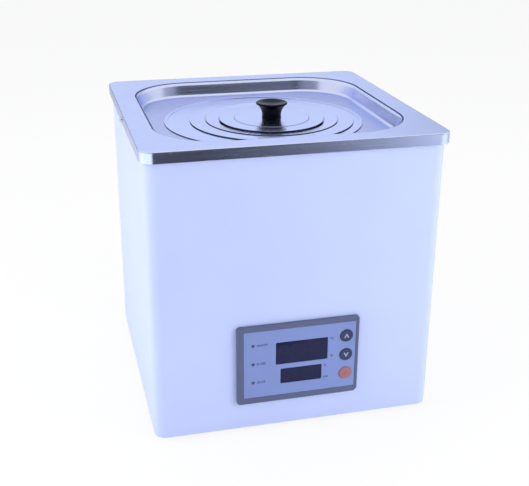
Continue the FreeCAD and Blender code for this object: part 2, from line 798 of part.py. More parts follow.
# Lid: turned-down edge and a slightly raised middle
lid = new_body("lid", "stack_shift")
BOSS_TOP = "(ring_3_lip + lid_boss_height)"
SLOPE = "(lid_boss_radius + lid_boss_slope)"
turn(
    lid,
    "z",
    ("0", "0", SEAT_3),
    [
        ("lid_radius", "0"),
        ("lid_radius", "ring_3_lip"),
        (SLOPE, "ring_3_lip"),
        ("lid_boss_radius", BOSS_TOP),
        ("knob_screw_radius + running_gap", BOSS_TOP),
        ("knob_screw_radius + running_gap", f"{BOSS_TOP} - ring_sheet"),
        ("lid_boss_radius", f"{BOSS_TOP} - ring_sheet"),
        (SLOPE, "ring_3_lip - ring_sheet"),
        ("lid_radius - ring_sheet", "ring_3_lip - ring_sheet"),
        ("lid_radius - ring_sheet", "0"),
    ],
)
lid_shoulder = level_edge(number(f"{SEAT_3} + ring_3_lip"), outside=number("lid_radius") - 0.01)
round_over(lid, "ring_bend", lid_shoulder)

# Moulded knob, waisted and dished on top, with a blind hole for its screw
knob = new_body("lid_knob", "stack_shift")
RIM_Z = "(knob_height - knob_rim_height)"
FLARE_TOP = "(knob_rim_radius - knob_rim_bevel)"
FLARE_X = f"({FLARE_TOP} - knob_waist_radius)"
FLARE_Z = f"({RIM_Z} - knob_waist_height)"
FLARE = f"(({FLARE_X} ^ 2 + {FLARE_Z} ^ 2) / 2 / {FLARE_X})"
TOE_X = "(knob_base_radius - knob_waist_radius)"
TOE_Z = "(knob_waist_height - knob_toe_height)"
TOE = f"(({TOE_X} ^ 2 + {TOE_Z} ^ 2) / 2 / {TOE_X})"
DISH_EDGE = "(knob_rim_radius - knob_rim_round)"
DISH = f"((({DISH_EDGE} - knob_dish_flat) ^ 2 + knob_dish_depth ^ 2) / 2 / knob_dish_depth)"
turn(
    knob,
    "z",
    ("0", "0", LID_TOP),
    [
        ("knob_screw_radius + running_gap", "0"),
        ("knob_base_radius", "0"),
        ("knob_base_radius", "knob_toe_height"),
        ("knob_waist_radius", "knob_waist_height"),
        (FLARE_TOP, RIM_Z),
        ("knob_rim_radius", f"{RIM_Z} + knob_rim_edge"),
        (DISH_EDGE, "knob_height"),
        ("knob_dish_flat", "knob_height - knob_dish_depth"),
        ("0", "knob_height - knob_dish_depth"),
        ("0", "knob_screw_length"),
        ("knob_screw_radius + running_gap", "knob_screw_length"),
    ],
    {2: (TOE, -1), 3: (FLARE, -1), 5: ("knob_rim_round", 1), 6: (DISH, 1)},
)
washer = new_body("knob_washer", "stack_shift")
LID_INSIDE = f"({LID_TOP} - ring_sheet)"
turn(
    washer,
    "z",
    ("0", "0", f"{LID_INSIDE} - washer_sheet"),
    tube_profile("knob_screw_radius + running_gap", "washer_radius", "0", "washer_sheet"),
)
knob_screw = new_body("knob_screw", "stack_shift")
turn(
    knob_screw,
    "z",
    ("0", "0", f"{LID_INSIDE} - washer_sheet"),
    [
        ("0", "-knob_screw_head_height"),
        ("knob_screw_radius + knob_screw_head / 2", "-knob_screw_head_height"),
        ("knob_screw_radius + knob_screw_head", "-knob_screw_head_height / 2"),
        ("knob_screw_radius + knob_screw_head", "0"),
        ("knob_screw_radius", "0"),
        ("knob_screw_radius", "knob_screw_length"),
        ("0", "knob_screw_length"),
    ],
)


def place_shape(node, shape):
    """A sub-part whose shape is made directly, moved like all the others."""
    feature = keep(doc.addObject("Part::Feature", node), node)
    feature.Shape = shape
    feature.Placement = FreeCAD.Placement(Vector(0, -number(FOOTPRINT_SHIFT), 0), FreeCAD.Rotation())
    return feature


def rounded_path(points, radius):
    """Straight runs through the points, joined by tangent arcs."""
    spots = [Vector(*(number(value) for value in point)) for point in points]
    start = spots[0]
    edges = []
    for before, corner, after in zip(spots, spots[1:], spots[2:]):
        into = (corner - before).normalize()
        out = (after - corner).normalize()
        setback = radius * math.tan(into.getAngle(out) / 2)
        first = corner - into * setback
        last = corner + out * setback
        centre = first + (out - into * into.dot(out)).normalize() * radius
        middle = centre + (corner - centre).normalize() * radius
        edges.append(Part.LineSegment(start, first).toShape())
        edges.append(Part.Arc(first, middle, last).toShape())
        start = last
    edges.append(Part.LineSegment(start, spots[-1]).toShape())
    return Part.Wire(edges)


def swept_rod(path, radius):
    """A round rod along a path."""
    first = path.Edges[0]
    ring = Part.Wire(Part.makeCircle(radius, first.Vertexes[0].Point, first.tangentAt(first.FirstParameter)))
    return path.makePipeShell([ring], True, True)


# Immersion heater: one sheathed rod, up through the floor, round the tank and back
HEATER_Z = f"({TANK_FLOOR} + heater_rise)"
HEATER_END = f"({TANK_UNDER} - heater_tail)"
heater_path = rounded_path(
    [
        ("-heater_leg_x", HEATER_Y, HEATER_END),
        ("-heater_leg_x", HEATER_Y, HEATER_Z),
        ("-heater_half_width", HEATER_Y, HEATER_Z),
        ("-heater_half_width", "-heater_half_length", HEATER_Z),
        ("heater_half_width", "-heater_half_length", HEATER_Z),
        ("heater_half_width", HEATER_Y, HEATER_Z),
        ("heater_leg_x", HEATER_Y, HEATER_Z),
        ("heater_leg_x", HEATER_Y, HEATER_END),
    ],
    number("heater_bend"),
)
place_shape("heater", swept_rod(heater_path, number("heater_radius")))

# Perforated shelf over the heater, standing on two turned-down sides
shelf = new_body("shelf")
SHELF_HALF = "(shelf_width / 2)"
SHELF_TOP = f"({TANK_FLOOR} + shelf_height)"
slab(
    shelf, "XY_Plane", ("0", "0", f"{SHELF_TOP} - shelf_sheet"),
    SHELF_HALF, SHELF_HALF, "shelf_corner", "shelf_sheet",
)
sides = new_sketch(shelf, "XY_Plane", ("0", "0", TANK_FLOOR))
SHELF_INSIDE = f"({SHELF_HALF} - shelf_sheet)"
for low, high in ((f"-{SHELF_HALF}", f"-{SHELF_INSIDE}"), (SHELF_INSIDE, SHELF_HALF)):
    draw_rectangle(sides, low, "-shelf_foot_half", high, "shelf_foot_half")
extrude(sides, "shelf_height - shelf_sheet / 2")
holes = new_sketch(shelf, "XY_Plane", ("0", "0", SHELF_TOP))
for i in range(-2, 3):
    for j in range(-2, 3):
        if (i, j) != (-2, 2):
            draw_circle(holes, "shelf_hole_radius", f"{i} * shelf_hole_pitch", f"{j} * shelf_hole_pitch")
draw_circle(holes, "probe_radius + 1.5", "probe_x", "probe_y")
extrude(holes, "2 * shelf_sheet", cut=True)

# Temperature probe: a closed tube through the tank floor
probe = new_body("probe")
turn(
    probe,
    "z",
    ("probe_x", "probe_y", TANK_FLOOR),
    [
        ("0", "-heater_tail"),
        ("probe_radius", "-heater_tail"),
        ("probe_radius", "0"),
        ("probe_radius + 3", "0"),
        ("probe_radius + 3", "2"),
        ("probe_radius", "2"),
        ("probe_radius", "probe_length - probe_radius"),
        ("0", "probe_length"),
    ],
    {6: ("probe_radius", 1)},
)
bushes = new_body("heater_bushes")
for x in mirrored_x("heater_leg_x"):
    collar = tube_profile("heater_radius + running_gap", "heater_radius + 4", "0", "nut_height")
    turn(bushes, "z", (x, HEATER_Y, TANK_FLOOR), collar)

# Drain: an outlet through the tank floor, a bent tube and a tap through the rear cover
NECK = f"({TANK_UNDER} - gasket_sheet - nut_height - 1)"
outlet = new_body("drain_outlet")
turn(
    outlet,
    "z",
    ("tap_x", "outlet_y", "0"),
    [
        ("spigot_radius - 1", f"{NECK} - spigot_length"),
        ("spigot_radius", f"{NECK} - spigot_length"),
        ("spigot_radius", NECK),
        ("outlet_radius", NECK),
        ("outlet_radius", TANK_FLOOR),
        ("outlet_radius + 4", TANK_FLOOR),
        ("outlet_radius + 3", f"{TANK_FLOOR} + 1.5"),
        ("spigot_radius - 1", f"{TANK_FLOOR} + 1.5"),
    ],
)
TAP_END = f"({CASING_HALF} + tap_reach)"
TAP_SHOULDER = f"({CASING_INSIDE} + gasket_sheet)"
TAP_BARREL = f"({TAP_SHOULDER} + 3)"
TAP_NECK = f"({COVER_BACK} - nut_height - 6)"
PLUG_Y = f"({TAP_BARREL} + 11)"
tap = new_body("tap_body")
turn(
    tap,
    "y",
    ("tap_x", "0", TAP_Z),
    [
        ("0", f"{TAP_NECK} - spigot_length"),
        ("spigot_radius", f"{TAP_NECK} - spigot_length"),
        ("spigot_radius", TAP_NECK),
        ("tap_radius", TAP_NECK),
        ("tap_radius", TAP_SHOULDER),
        ("tap_radius + 3", TAP_SHOULDER),
        ("tap_radius + 3", TAP_BARREL),
        ("tap_radius + 1", TAP_BARREL),
        ("tap_radius + 1", f"{TAP_END} - spigot_length"),
        ("spigot_radius", f"{TAP_END} - spigot_length"),
        ("spigot_radius", TAP_END),
        ("0", TAP_END),
    ],
)
boss = new_sketch(tap, "XY_Plane", ("0", "0", TAP_Z))
draw_circle(boss, "plug_radius + plug_wall", "tap_x", PLUG_Y)
extrude(boss, "plug_top")
seat = new_sketch(tap, "XY_Plane", ("0", "0", f"{TAP_Z} + plug_top"))
draw_circle(seat, "plug_radius + running_gap", "tap_x", PLUG_Y)
extrude(seat, "plug_top + plug_radius + 0.6", cut=True)
bore = new_sketch(tap, "XZ_Plane", ("0", "0", f"-{TAP_END}"))
draw_circle(bore, "tap_bore_radius", "tap_x", TAP_Z)
extrude(bore, f"{TAP_END} - {TAP_NECK} + spigot_length", cut=True, back=True)
tap_gasket = new_body("tap_gasket")
face_ring = tube_profile("tap_radius + running_gap", "tap_radius + 3", CASING_INSIDE, TAP_SHOULDER)
turn(tap_gasket, "y", ("tap_x", "0", TAP_Z), face_ring)


def back_nut(node, x, z, radius, across_flats):
    """A hexagon nut against the inside of the service cover."""
    nut = new_body(node)
    sketch = new_sketch(nut, "XZ_Plane", (x, z, f"-{COVER_BACK}"))
    draw_profile(sketch, hexagon(across_flats))
    draw_circle(sketch, f"{radius} + running_gap")
    extrude(sketch, "nut_height")


back_nut("tap_nut", "tap_x", TAP_Z, "tap_radius", "2 * tap_radius + 7")
tube_path = rounded_path(
    [("tap_x", "outlet_y", NECK), ("tap_x", "outlet_y", TAP_Z), ("tap_x", TAP_NECK, TAP_Z)],
    number("tube_bend"),
)
tube_inner = number("spigot_radius + running_gap")
tube = swept_rod(tube_path, tube_inner + number("tube_wall"))
place_shape("drain_tube", tube.cut(swept_rod(tube_path, tube_inner)))

# Plug of the tap, its cross hole at right angles to the flow, and the lever on its stem
PLUG_SHOULDER = "(plug_top + running_gap)"
STEM_TOP = f"({PLUG_SHOULDER} + 1.5 + lever_sheet)"
plug = new_body("tap_plug")
turn(
    plug,
    "z",
    ("tap_x", PLUG_Y, TAP_Z),
    [
        ("0", "-plug_radius"),
        ("plug_radius", "-plug_radius"),
        ("plug_radius", PLUG_SHOULDER),
        ("plug_radius + 2", PLUG_SHOULDER),
        ("plug_radius + 2", f"{PLUG_SHOULDER} + 1.5"),
        ("plug_stem_radius", f"{PLUG_SHOULDER} + 1.5"),
        ("plug_stem_radius", STEM_TOP),
        (SCREW_HOLE, STEM_TOP),
        (SCREW_HOLE, f"{STEM_TOP} - screw_length"),
        ("0", f"{STEM_TOP} - screw_length"),
    ],
)
cross_hole = new_sketch(plug, "YZ_Plane", (PLUG_Y, TAP_Z, "tap_x - 2 * plug_radius"))
draw_circle(cross_hole, "tap_bore_radius")
extrude(cross_hole, "4 * plug_radius", cut=True, back=True)
lever = new_body("tap_lever")
bar = new_sketch(lever, "XY_Plane", ("0", "0", f"{TAP_Z} + {PLUG_SHOULDER} + 1.5"))
draw_rounded(
    bar,
    "(lever_length + lever_half_width) / 2",
    "lever_half_width",
    "(lever_half_width * 0.9)",
    "tap_x + (lever_length - lever_half_width) / 2",
    PLUG_Y,
)
draw_circle(bar, "plug_stem_radius + running_gap", "tap_x", PLUG_Y)
extrude(bar, "lever_sheet")
lever_screw = new_body("tap_lever_screw")
add_screw(lever_screw, "z", ("tap_x", PLUG_Y, f"{TAP_Z} + {STEM_TOP}"), 1)

# Power inlet: a flanged socket with bevelled upper corners and three blades
inlet = new_body("power_inlet")
inlet_face = ("inlet_x", INLET_Z, f"-{CASING_INSIDE}")
slab(
    inlet, "XZ_Plane", inlet_face,
    "inlet_width / 2 + inlet_rim", "inlet_height / 2 + inlet_rim",
    "(2 * window_corner)", "inlet_rim", back=True,
)
slab(inlet, "XZ_Plane", inlet_face, "inlet_width / 2", "inlet_height / 2", "window_corner", "inlet_depth")
socket = new_sketch(inlet, "XZ_Plane", ("inlet_x", INLET_Z, f"-({CASING_INSIDE} + inlet_rim)"))
SOCKET_X = "(inlet_width / 2 - socket_wall)"
SOCKET_Z = "(inlet_height / 2 - socket_wall)"
draw_profile(
    socket,
    [
        (f"-{SOCKET_X}", f"-{SOCKET_Z}"),
        (SOCKET_X, f"-{SOCKET_Z}"),
        (SOCKET_X, f"{SOCKET_Z} - socket_bevel"),
        (f"{SOCKET_X} - socket_bevel", SOCKET_Z),
        (f"-({SOCKET_X} - socket_bevel)", SOCKET_Z),
        (f"-{SOCKET_X}", f"{SOCKET_Z} - socket_bevel"),
    ],
)
extrude(socket, "socket_depth", cut=True, back=True)
inlet_pins = new_body("inlet_pins")
blades = new_sketch(inlet_pins, "XZ_Plane", ("0", "0", f"-({CASING_INSIDE} - inlet_depth - pin_tail)"))
blade_holes = new_sketch(inlet, "XZ_Plane", ("0", "0", f"-({CASING_INSIDE} - inlet_depth)"))
for x, z in (("-pin_pitch", "-pin_offset"), ("pin_pitch", "-pin_offset"), ("0", "pin_offset")):
    for sketch, gap in ((blades, "0"), (blade_holes, "running_gap")):
        draw_rectangle(
            sketch,
            f"inlet_x + {x} - pin_width / 2 - {gap}",
            f"{INLET_Z} + {z} - pin_height / 2 - {gap}",
            f"inlet_x + {x} + pin_width / 2 + {gap}",
            f"{INLET_Z} + {z} + pin_height / 2 + {gap}",
        )
extrude(blades, "inlet_depth + inlet_rim + pin_tail - 1", back=True)
extrude(blade_holes, "inlet_depth / 2", cut=True)

# Mains switch: a frame, a rocker tilted to its off side and two terminals
switch_frame = new_body("switch_frame")
switch_face = ("switch_x", SWITCH_Z, f"-{CASING_INSIDE}")
slab(
    switch_frame, "XZ_Plane", switch_face,
    "switch_width / 2 + switch_rim", "switch_length / 2 + switch_rim",
    "(2 * window_corner)", "switch_rim", back=True,
)
slab(
    switch_frame, "XZ_Plane", switch_face, "switch_width / 2", "switch_length / 2",
    "window_corner", "switch_depth",
)
slab(
    switch_frame, "XZ_Plane", ("switch_x", SWITCH_Z, f"-({CASING_INSIDE} + switch_rim)"),
    "rocker_half_width + case_gap", "rocker_half_length + 0.8",
    "(case_gap * 2)", "rocker_well", cut=True, back=True,
)
ROCKER_Y = f"({CASING_INSIDE} - 1)"
PIVOT = "rocker_pivot_radius"
bearing = new_sketch(switch_frame, "YZ_Plane", (ROCKER_Y, SWITCH_Z, "switch_x - switch_width"))
draw_circle(bearing, f"{PIVOT} + running_gap")
extrude(bearing, "2 * switch_width", cut=True, back=True)


def tilted(along_y, along_z):
    """A point of the rocker's side view, turned with the rocker about its pivot."""
    tilt = "-rocker_tilt_degrees"
    y = f"({along_y}) * cos({tilt}) - ({along_z}) * sin({tilt})"
    z = f"({along_y}) * sin({tilt}) + ({along_z}) * cos({tilt})"
    return (y, z)


rocker = new_body("switch_rocker")
side_view = new_sketch(rocker, "YZ_Plane", (ROCKER_Y, SWITCH_Z, "switch_x - rocker_half_width"))
ROCKER_MIDDLE = "switch_rim + rocker_crown"
ROCKER_END = f"{ROCKER_MIDDLE} + rocker_half_length * tan(rocker_tilt_degrees)"
draw_profile(
    side_view,
    [
        tilted("-1.5", "-rocker_half_length"),
        tilted("-4", "-3"),
        tilted("-4", "3"),
        tilted("-1.5", "rocker_half_length"),
        tilted(ROCKER_END, "rocker_half_length"),
        tilted(ROCKER_MIDDLE, "0"),
        tilted(ROCKER_END, "-rocker_half_length"),
    ],
)
extrude(side_view, "2 * rocker_half_width")
stubs = new_sketch(rocker, "YZ_Plane", (ROCKER_Y, SWITCH_Z, "switch_x - rocker_half_width - 1"))
draw_circle(stubs, PIVOT)
extrude(stubs, "2 * rocker_half_width + 2")
terminals = new_body("switch_terminals")
tabs = new_sketch(terminals, "XZ_Plane", ("switch_x", SWITCH_Z, f"-({CASING_INSIDE} - switch_depth)"))
for middle in mirrored_x("terminal_pitch / 2"):
    low = f"{middle} - terminal_sheet / 2"
    draw_rectangle(tabs, "-terminal_width / 2", low, "terminal_width / 2", f"{low} + terminal_sheet")
extrude(tabs, "terminal_length")

# Fuse holder with its screw cap
fuse_place = ("fuse_x", "0", FUSE_Z)
FUSE_FRONT = f"({CASING_INSIDE} + fuse_rim_sheet)"
FUSE_BACK = f"({CASING_INSIDE} - fuse_length)"
CAP_BACK = f"({FUSE_FRONT} - fuse_cap_depth)"
CAP_FRONT = f"({FUSE_FRONT} + fuse_cap_height)"
holder = new_body("fuse_holder")
turn(
    holder,
    "y",
    fuse_place,
    [
        ("0", FUSE_BACK),
        ("fuse_radius", FUSE_BACK),
        ("fuse_radius", CASING_INSIDE),
        ("fuse_radius + fuse_rim", CASING_INSIDE),
        ("fuse_radius + fuse_rim", FUSE_FRONT),
        ("fuse_cap_radius + running_gap", FUSE_FRONT),
        ("fuse_cap_radius + running_gap", CAP_BACK),
        ("0", CAP_BACK),
    ],
)
cap = new_body("fuse_cap")
turn(
    cap,
    "y",
    fuse_place,
    [
        ("0", CAP_BACK),
        ("fuse_cap_radius", CAP_BACK),
        ("fuse_cap_radius", FUSE_FRONT),
        ("fuse_radius + fuse_cap_rim", FUSE_FRONT),
        ("fuse_radius + fuse_cap_rim", f"{CAP_FRONT} - 2 * fuse_cap_rim"),
        ("fuse_radius - fuse_cap_rim", CAP_FRONT),
        ("0", CAP_FRONT),
    ],
)
back_nut("fuse_nut", "fuse_x", FUSE_Z, "fuse_radius", "2 * fuse_radius + 5")

# Controller frame: bevelled in front, its lower right corner cut off, its opening set off
# centre, with a ledge for the face
bezel = new_body("bezel")
rim = new_sketch(bezel, "XZ_Plane", ("0", PANEL_Z, CASING_HALF))
draw_rounded(rim, "bezel_width / 2", "bezel_height / 2", "bezel_corner", flat=1)
extrude(rim, "bezel_proud")
FRONT = number(f"-({CASING_HALF} + bezel_proud)")
round_over(bezel, "bezel_chamfer", lambda edge: edge.BoundBox.YMax < FRONT + 1e-4, kind="Chamfer")
FACE_X = "((frame_left - frame_right) / 2)"
FACE_Z = f"({PANEL_Z} + (frame_bottom - frame_top) / 2)"
FACE_HALF_X = "((bezel_width - frame_left - frame_right) / 2)"
FACE_HALF_Z = "((bezel_height - frame_top - frame_bottom) / 2)"
face_place = (FACE_X, FACE_Z, f"{CASING_HALF} + bezel_proud")
slab(
    bezel, "XZ_Plane", face_place, FACE_HALF_X, FACE_HALF_Z,
    "window_corner", "face_sunk + face_sheet", cut=True,
)
slab(
    bezel, "XZ_Plane", face_place, f"({FACE_HALF_X} - face_ledge)", f"({FACE_HALF_Z} - face_ledge)",
    "window_corner", "bezel_proud + 1", cut=True,
)

# Controller case through the window, closed behind, with posts for its power board
case = new_body("controller_case")
slab(
    case, "XZ_Plane", ("0", PANEL_Z, CASING_HALF), CASE_HALF_X, CASE_HALF_Z,
    "bezel_corner", "case_depth", back=True,
)
CASE_IN_X = f"({CASE_HALF_X} - case_wall)"
CASE_IN_Z = f"({CASE_HALF_Z} - case_wall)"
slab(
    case, "XZ_Plane", ("0", PANEL_Z, CASING_HALF), CASE_IN_X, CASE_IN_Z,
    "window_corner", "case_depth - case_wall", cut=True,
)
CASE_FLOOR = f"({PANEL_Z} - {CASE_IN_Z})"
CASE_BACK = f"({CASING_HALF} - case_depth)"
BOARD_HALF_X = f"({CASE_IN_X} - board_border)"
BOARD_LOW_Y = f"({BOARD_FRONT} - board_sheet - board_border)"
BOARD_HIGH_Y = f"({CASE_BACK} + case_wall + board_back_gap)"
posts = new_sketch(case, "XY_Plane", ("0", "0", CASE_FLOOR))
for x in mirrored_x(f"({BOARD_HALF_X} - post_inset)"):
    for y in (f"post_inset - {BOARD_LOW_Y}", f"-({BOARD_HIGH_Y} + post_inset)"):
        draw_circle(posts, "post_radius", x, y)
extrude(posts, "post_height")
clamps = new_body("controller_clamps")
for sign in (-1, 1):
    wedge = new_sketch(clamps, "XY_Plane", ("0", "0", f"{PANEL_Z} - clamp_height / 2"))
    near = f"{sign} * {CASE_HALF_X}"
    far = f"{sign} * ({CASE_HALF_X} + clamp_width)"
    step = f"{sign} * ({CASE_HALF_X} + clamp_width / 3)"
    outline = [
        (near, f"-{CASING_INSIDE}"),
        (far, f"-{CASING_INSIDE}"),
        (far, f"6 - {CASING_INSIDE}"),
        (step, f"clamp_depth - {CASING_INSIDE}"),
        (near, f"clamp_depth - {CASING_INSIDE}"),
    ]
    draw_profile(wedge, outline)
    extrude(wedge, "clamp_height")

# Face of the controller with its windows, buttons and lamps
BUTTON_Z = [f"(foot_height + up_button_z - {i} * button_pitch)" for i in range(3)]
LAMP_Z = [f"(foot_height + lamp_z - {i} * lamp_pitch)" for i in range(3)]
WINDOWS = {
    part: (
        f"{part}_window_x",
        f"(foot_height + {part}_window_z)",
        f"{part}_window_width",
        f"{part}_window_height",
    )
    for part in ("upper", "lower")
}
face = new_body("face_plate")
slab(
    face, "XZ_Plane", (FACE_X, FACE_Z, FACE_BACK),
    f"({FACE_HALF_X} - window_gap)", f"({FACE_HALF_Z} - window_gap)", "window_corner", "face_sheet",
)
openings = new_sketch(face, "XZ_Plane", ("0", "0", FACE_FRONT))
for x, z, width, height in WINDOWS.values():
    draw_rounded(openings, f"{width} / 2", f"{height} / 2", "window_corner", x, z)
for z in BUTTON_Z:
    draw_circle(openings, "button_radius + button_gap", "button_x", z)
for z in LAMP_Z:
    draw_circle(openings, "lamp_radius + window_gap", "lamp_x", z)
extrude(openings, "2 * face_sheet", cut=True)
for part, (x, z, width, height) in WINDOWS.items():
    half_x = f"({width} / 2 - window_gap)"
    half_z = f"({height} / 2 - window_gap)"
    place = (x, z, WINDOW_BACK)
    window = new_body(f"{part}_window")
    slab(window, "XZ_Plane", place, half_x, half_z, "window_corner", "window_thickness")
    display = new_body(f"{part}_display")
    slab(display, "XZ_Plane", place, half_x, half_z, "window_corner", "display_depth", back=True)

# Display board with its switches and lamps; the three buttons slide in the face
display_board = new_body("display_board")
slab(
    display_board, "XZ_Plane", ("0", PANEL_Z, BOARD_FRONT),
    f"({CASE_IN_X} - case_gap)", f"({CASE_IN_Z} - case_gap)",
    "window_corner", "board_sheet", back=True,
)
switches = new_body("button_switches")
SWITCH_FRONT = f"({BOARD_FRONT} + switch_height)"
for node, z in zip(("up_button", "down_button", "set_button"), BUTTON_Z):
    cube = new_sketch(switches, "XZ_Plane", ("0", "0", BOARD_FRONT))
    draw_rounded(cube, "switch_body / 2", "switch_body / 2", "case_gap", "button_x", z)
    extrude(cube, "switch_height")
    button = new_body(node)
    turn(
        button,
        "y",
        ("button_x", "0", z),
        [
            ("0", f"-({SWITCH_FRONT} + button_travel + 0.2)"),
            ("button_stem_radius", f"-({SWITCH_FRONT} + button_travel + 0.2)"),
            ("button_stem_radius", f"-({FACE_BACK} - running_gap - button_flange)"),
            ("button_radius + 1.3", f"-({FACE_BACK} - running_gap - button_flange)"),
            ("button_radius + 1.3", f"-({FACE_BACK} - running_gap)"),
            ("button_radius", f"-({FACE_BACK} - running_gap)"),
            ("button_radius", f"-({FACE_FRONT} + button_proud - 0.4)"),
            ("button_radius - 0.4", f"-({FACE_FRONT} + button_proud)"),
            ("0", f"-({FACE_FRONT} + button_proud)"),
        ],
    )
lamps = new_body("indicator_leds")
for z in LAMP_Z:
    turn(
        lamps,
        "y",
        ("lamp_x", "0", z),
        [
            ("0", f"-{BOARD_FRONT}"),
            ("lamp_radius + 0.8", f"-{BOARD_FRONT}"),
            ("lamp_radius + 0.8", f"-({FACE_BACK} - 1)"),
            ("lamp_radius", f"-({FACE_BACK} - 1)"),
            ("lamp_radius", f"-({FACE_FRONT} - 0.3)"),
            ("lamp_radius - 0.5", f"-({FACE_FRONT} + 0.2)"),
            ("0", f"-({FACE_FRONT} + 0.2)"),
        ],
    )

# Power board on its posts, with a relay and a transformer; terminals behind the case
BOARD_Z = f"({CASE_FLOOR} + post_height)"
BOARD_TOP = f"({BOARD_Z} + board_sheet)"
block(
    "power_board",
    (f"-{BOARD_HALF_X}", f"-{BOARD_LOW_Y}", BOARD_Z),
    (BOARD_HALF_X, f"-{BOARD_HIGH_Y}", BOARD_TOP),
)
block(
    "relay",
    ("relay_x", f"relay_y - {BOARD_LOW_Y}", BOARD_TOP),
    ("relay_x + relay_width", f"relay_y + relay_height - {BOARD_LOW_Y}", f"{BOARD_TOP} + relay_height"),
)
transformer = new_body("transformer")
for part in ("core", "winding"):
    slab(
        transformer, "XY_Plane", ("transformer_x", f"transformer_y - {BOARD_LOW_Y}", BOARD_TOP),
        f"{part}_width / 2", f"{part}_length / 2", "window_corner", f"{part}_height",
    )
terminal_block = new_body("terminal_block")
slab(
    terminal_block, "XZ_Plane", ("0", PANEL_Z, CASE_BACK), "block_width / 2", "block_height / 2",
    "window_corner", "block_depth", back=True,
)
recesses = new_sketch(terminal_block, "XZ_Plane", ("0", PANEL_Z, f"{CASE_BACK} - block_depth"))
for i in range(8):
    draw_circle(recesses, "block_hole_radius", f"{i - 3.5} * block_pitch", "0")
extrude(recesses, "block_hole_depth", cut=True, back=True)

# Every feature and every sub-part has to be sound before anything is written.
doc.recompute()
for thing in doc.Objects:
    if "Invalid" in thing.State or "Error" in thing.State:
        raise RuntimeError(f"{thing.Label}: {thing.State}")
    if thing.TypeId in ("PartDesign::Pocket", "PartDesign::Groove"):
        if thing.BaseFeature.Shape.Volume - thing.Shape.Volume < 0.1:
            raise RuntimeError(f"{thing.Label} in {thing.getParentGeoFeatureGroup().Label} removes nothing")
for node, thing in subparts.items():
    if thing.Shape.isNull() or not thing.Shape.isValid() or thing.Shape.Volume < 1:
        raise RuntimeError(f"{node} has no sound shape")
os.makedirs("parts", exist_ok=True)
for node, thing in subparts.items():
    thing.Shape.exportStep(f"parts/{node}.step")
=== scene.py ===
import math

import bmesh
import bpy
from mathutils import Matrix, Vector


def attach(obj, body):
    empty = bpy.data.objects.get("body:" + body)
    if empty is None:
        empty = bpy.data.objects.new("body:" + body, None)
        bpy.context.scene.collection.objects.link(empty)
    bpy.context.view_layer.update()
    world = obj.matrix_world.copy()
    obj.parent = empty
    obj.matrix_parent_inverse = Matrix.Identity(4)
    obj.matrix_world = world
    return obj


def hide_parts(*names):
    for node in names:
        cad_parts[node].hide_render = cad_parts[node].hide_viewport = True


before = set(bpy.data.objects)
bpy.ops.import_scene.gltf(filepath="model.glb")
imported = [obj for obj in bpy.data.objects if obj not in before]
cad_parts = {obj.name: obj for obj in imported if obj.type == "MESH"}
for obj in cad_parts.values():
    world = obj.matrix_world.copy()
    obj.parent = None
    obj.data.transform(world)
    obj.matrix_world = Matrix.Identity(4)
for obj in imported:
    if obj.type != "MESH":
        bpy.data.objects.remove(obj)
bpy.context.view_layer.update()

# Main places in the row frame, in metres: the tank's axis, the underside of the casing, the steel
# top, the floor of its tray, and the middle of the smaller rings and the lid
AXIS_Y = -0.02075
FOOT = 0.005
TOP = 0.285
TRAY_DEPTH = 0.0155
TRAY = TOP - TRAY_DEPTH
STACK_X = 0.0084

# Faces that meet at a smaller angle than this shade as one
SMOOTH = math.radians(32)
# How far from an edge its extra loop lies
BRACE = 0.0002


# Mesh helpers
def add_object(name, mesh, body, *replaced):
    """A finished piece: smooth, riding on its body, in place of CAD nodes."""
    mesh.shade_smooth()
    mesh.set_sharp_from_angle(angle=SMOOTH)
    thing = bpy.data.objects.new(name, mesh)
    bpy.context.scene.collection.objects.link(thing)
    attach(thing, body)
    if replaced:
        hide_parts(*replaced)
    return thing


def mesh_from(name, verts, faces):
    """A mesh with its normals turned outwards."""
    mesh = bpy.data.meshes.new(name)
    mesh.from_pydata(verts, [], faces)
    work = bmesh.new()
    work.from_mesh(mesh)
    bmesh.ops.recalc_face_normals(work, faces=work.faces)
    work.to_mesh(mesh)
    work.free()
    return mesh


def braced(loops, ring):
    """The loops with one more close to each end of a wide step, so that flats shade flat."""
    found = []
    for i, loop in enumerate(loops):
        found.append(loop)
        if i == len(loops) - 1 and not ring:
            break
        pairs = list(zip(loop, loops[(i + 1) % len(loops)]))
        wide = max(math.dist(p, q) for p, q in pairs)
        if wide > 8 * BRACE:
            for share in (BRACE / wide, 1 - BRACE / wide):
                found.append([tuple(a + (b - a) * share for a, b in zip(p, q)) for p, q in pairs])
    return found


def skin(name, loops, ends=False, ring=False):
    """Quads between loops of as many points each; ends closes both, ring joins last to first."""
    loops = braced(loops, ring)
    count = len(loops[0])
    verts = [tuple(p) for loop in loops for p in loop]
    faces = []
    pairs = list(zip(range(len(loops)), range(1, len(loops))))
    if ring:
        pairs.append((len(loops) - 1, 0))
    for a, b in pairs:
        for k in range(count):
            n = (k + 1) % count
            faces.append((a * count + k, a * count + n, b * count + n, b * count + k))
    if ends:
        faces.append(tuple(range(count)))
        faces.append(tuple((len(loops) - 1) * count + k for k in range(count)))
    return mesh_from(name, verts, faces)


def arc(cx, cy, radius, start, end, steps=8):
    """Points of a section's arc, angles in degrees."""
    points = []
    for k in range(steps + 1):
        t = math.radians(start + (end - start) * k / steps)
        points.append((cx + radius * math.cos(t), cy + radius * math.sin(t)))
    return points


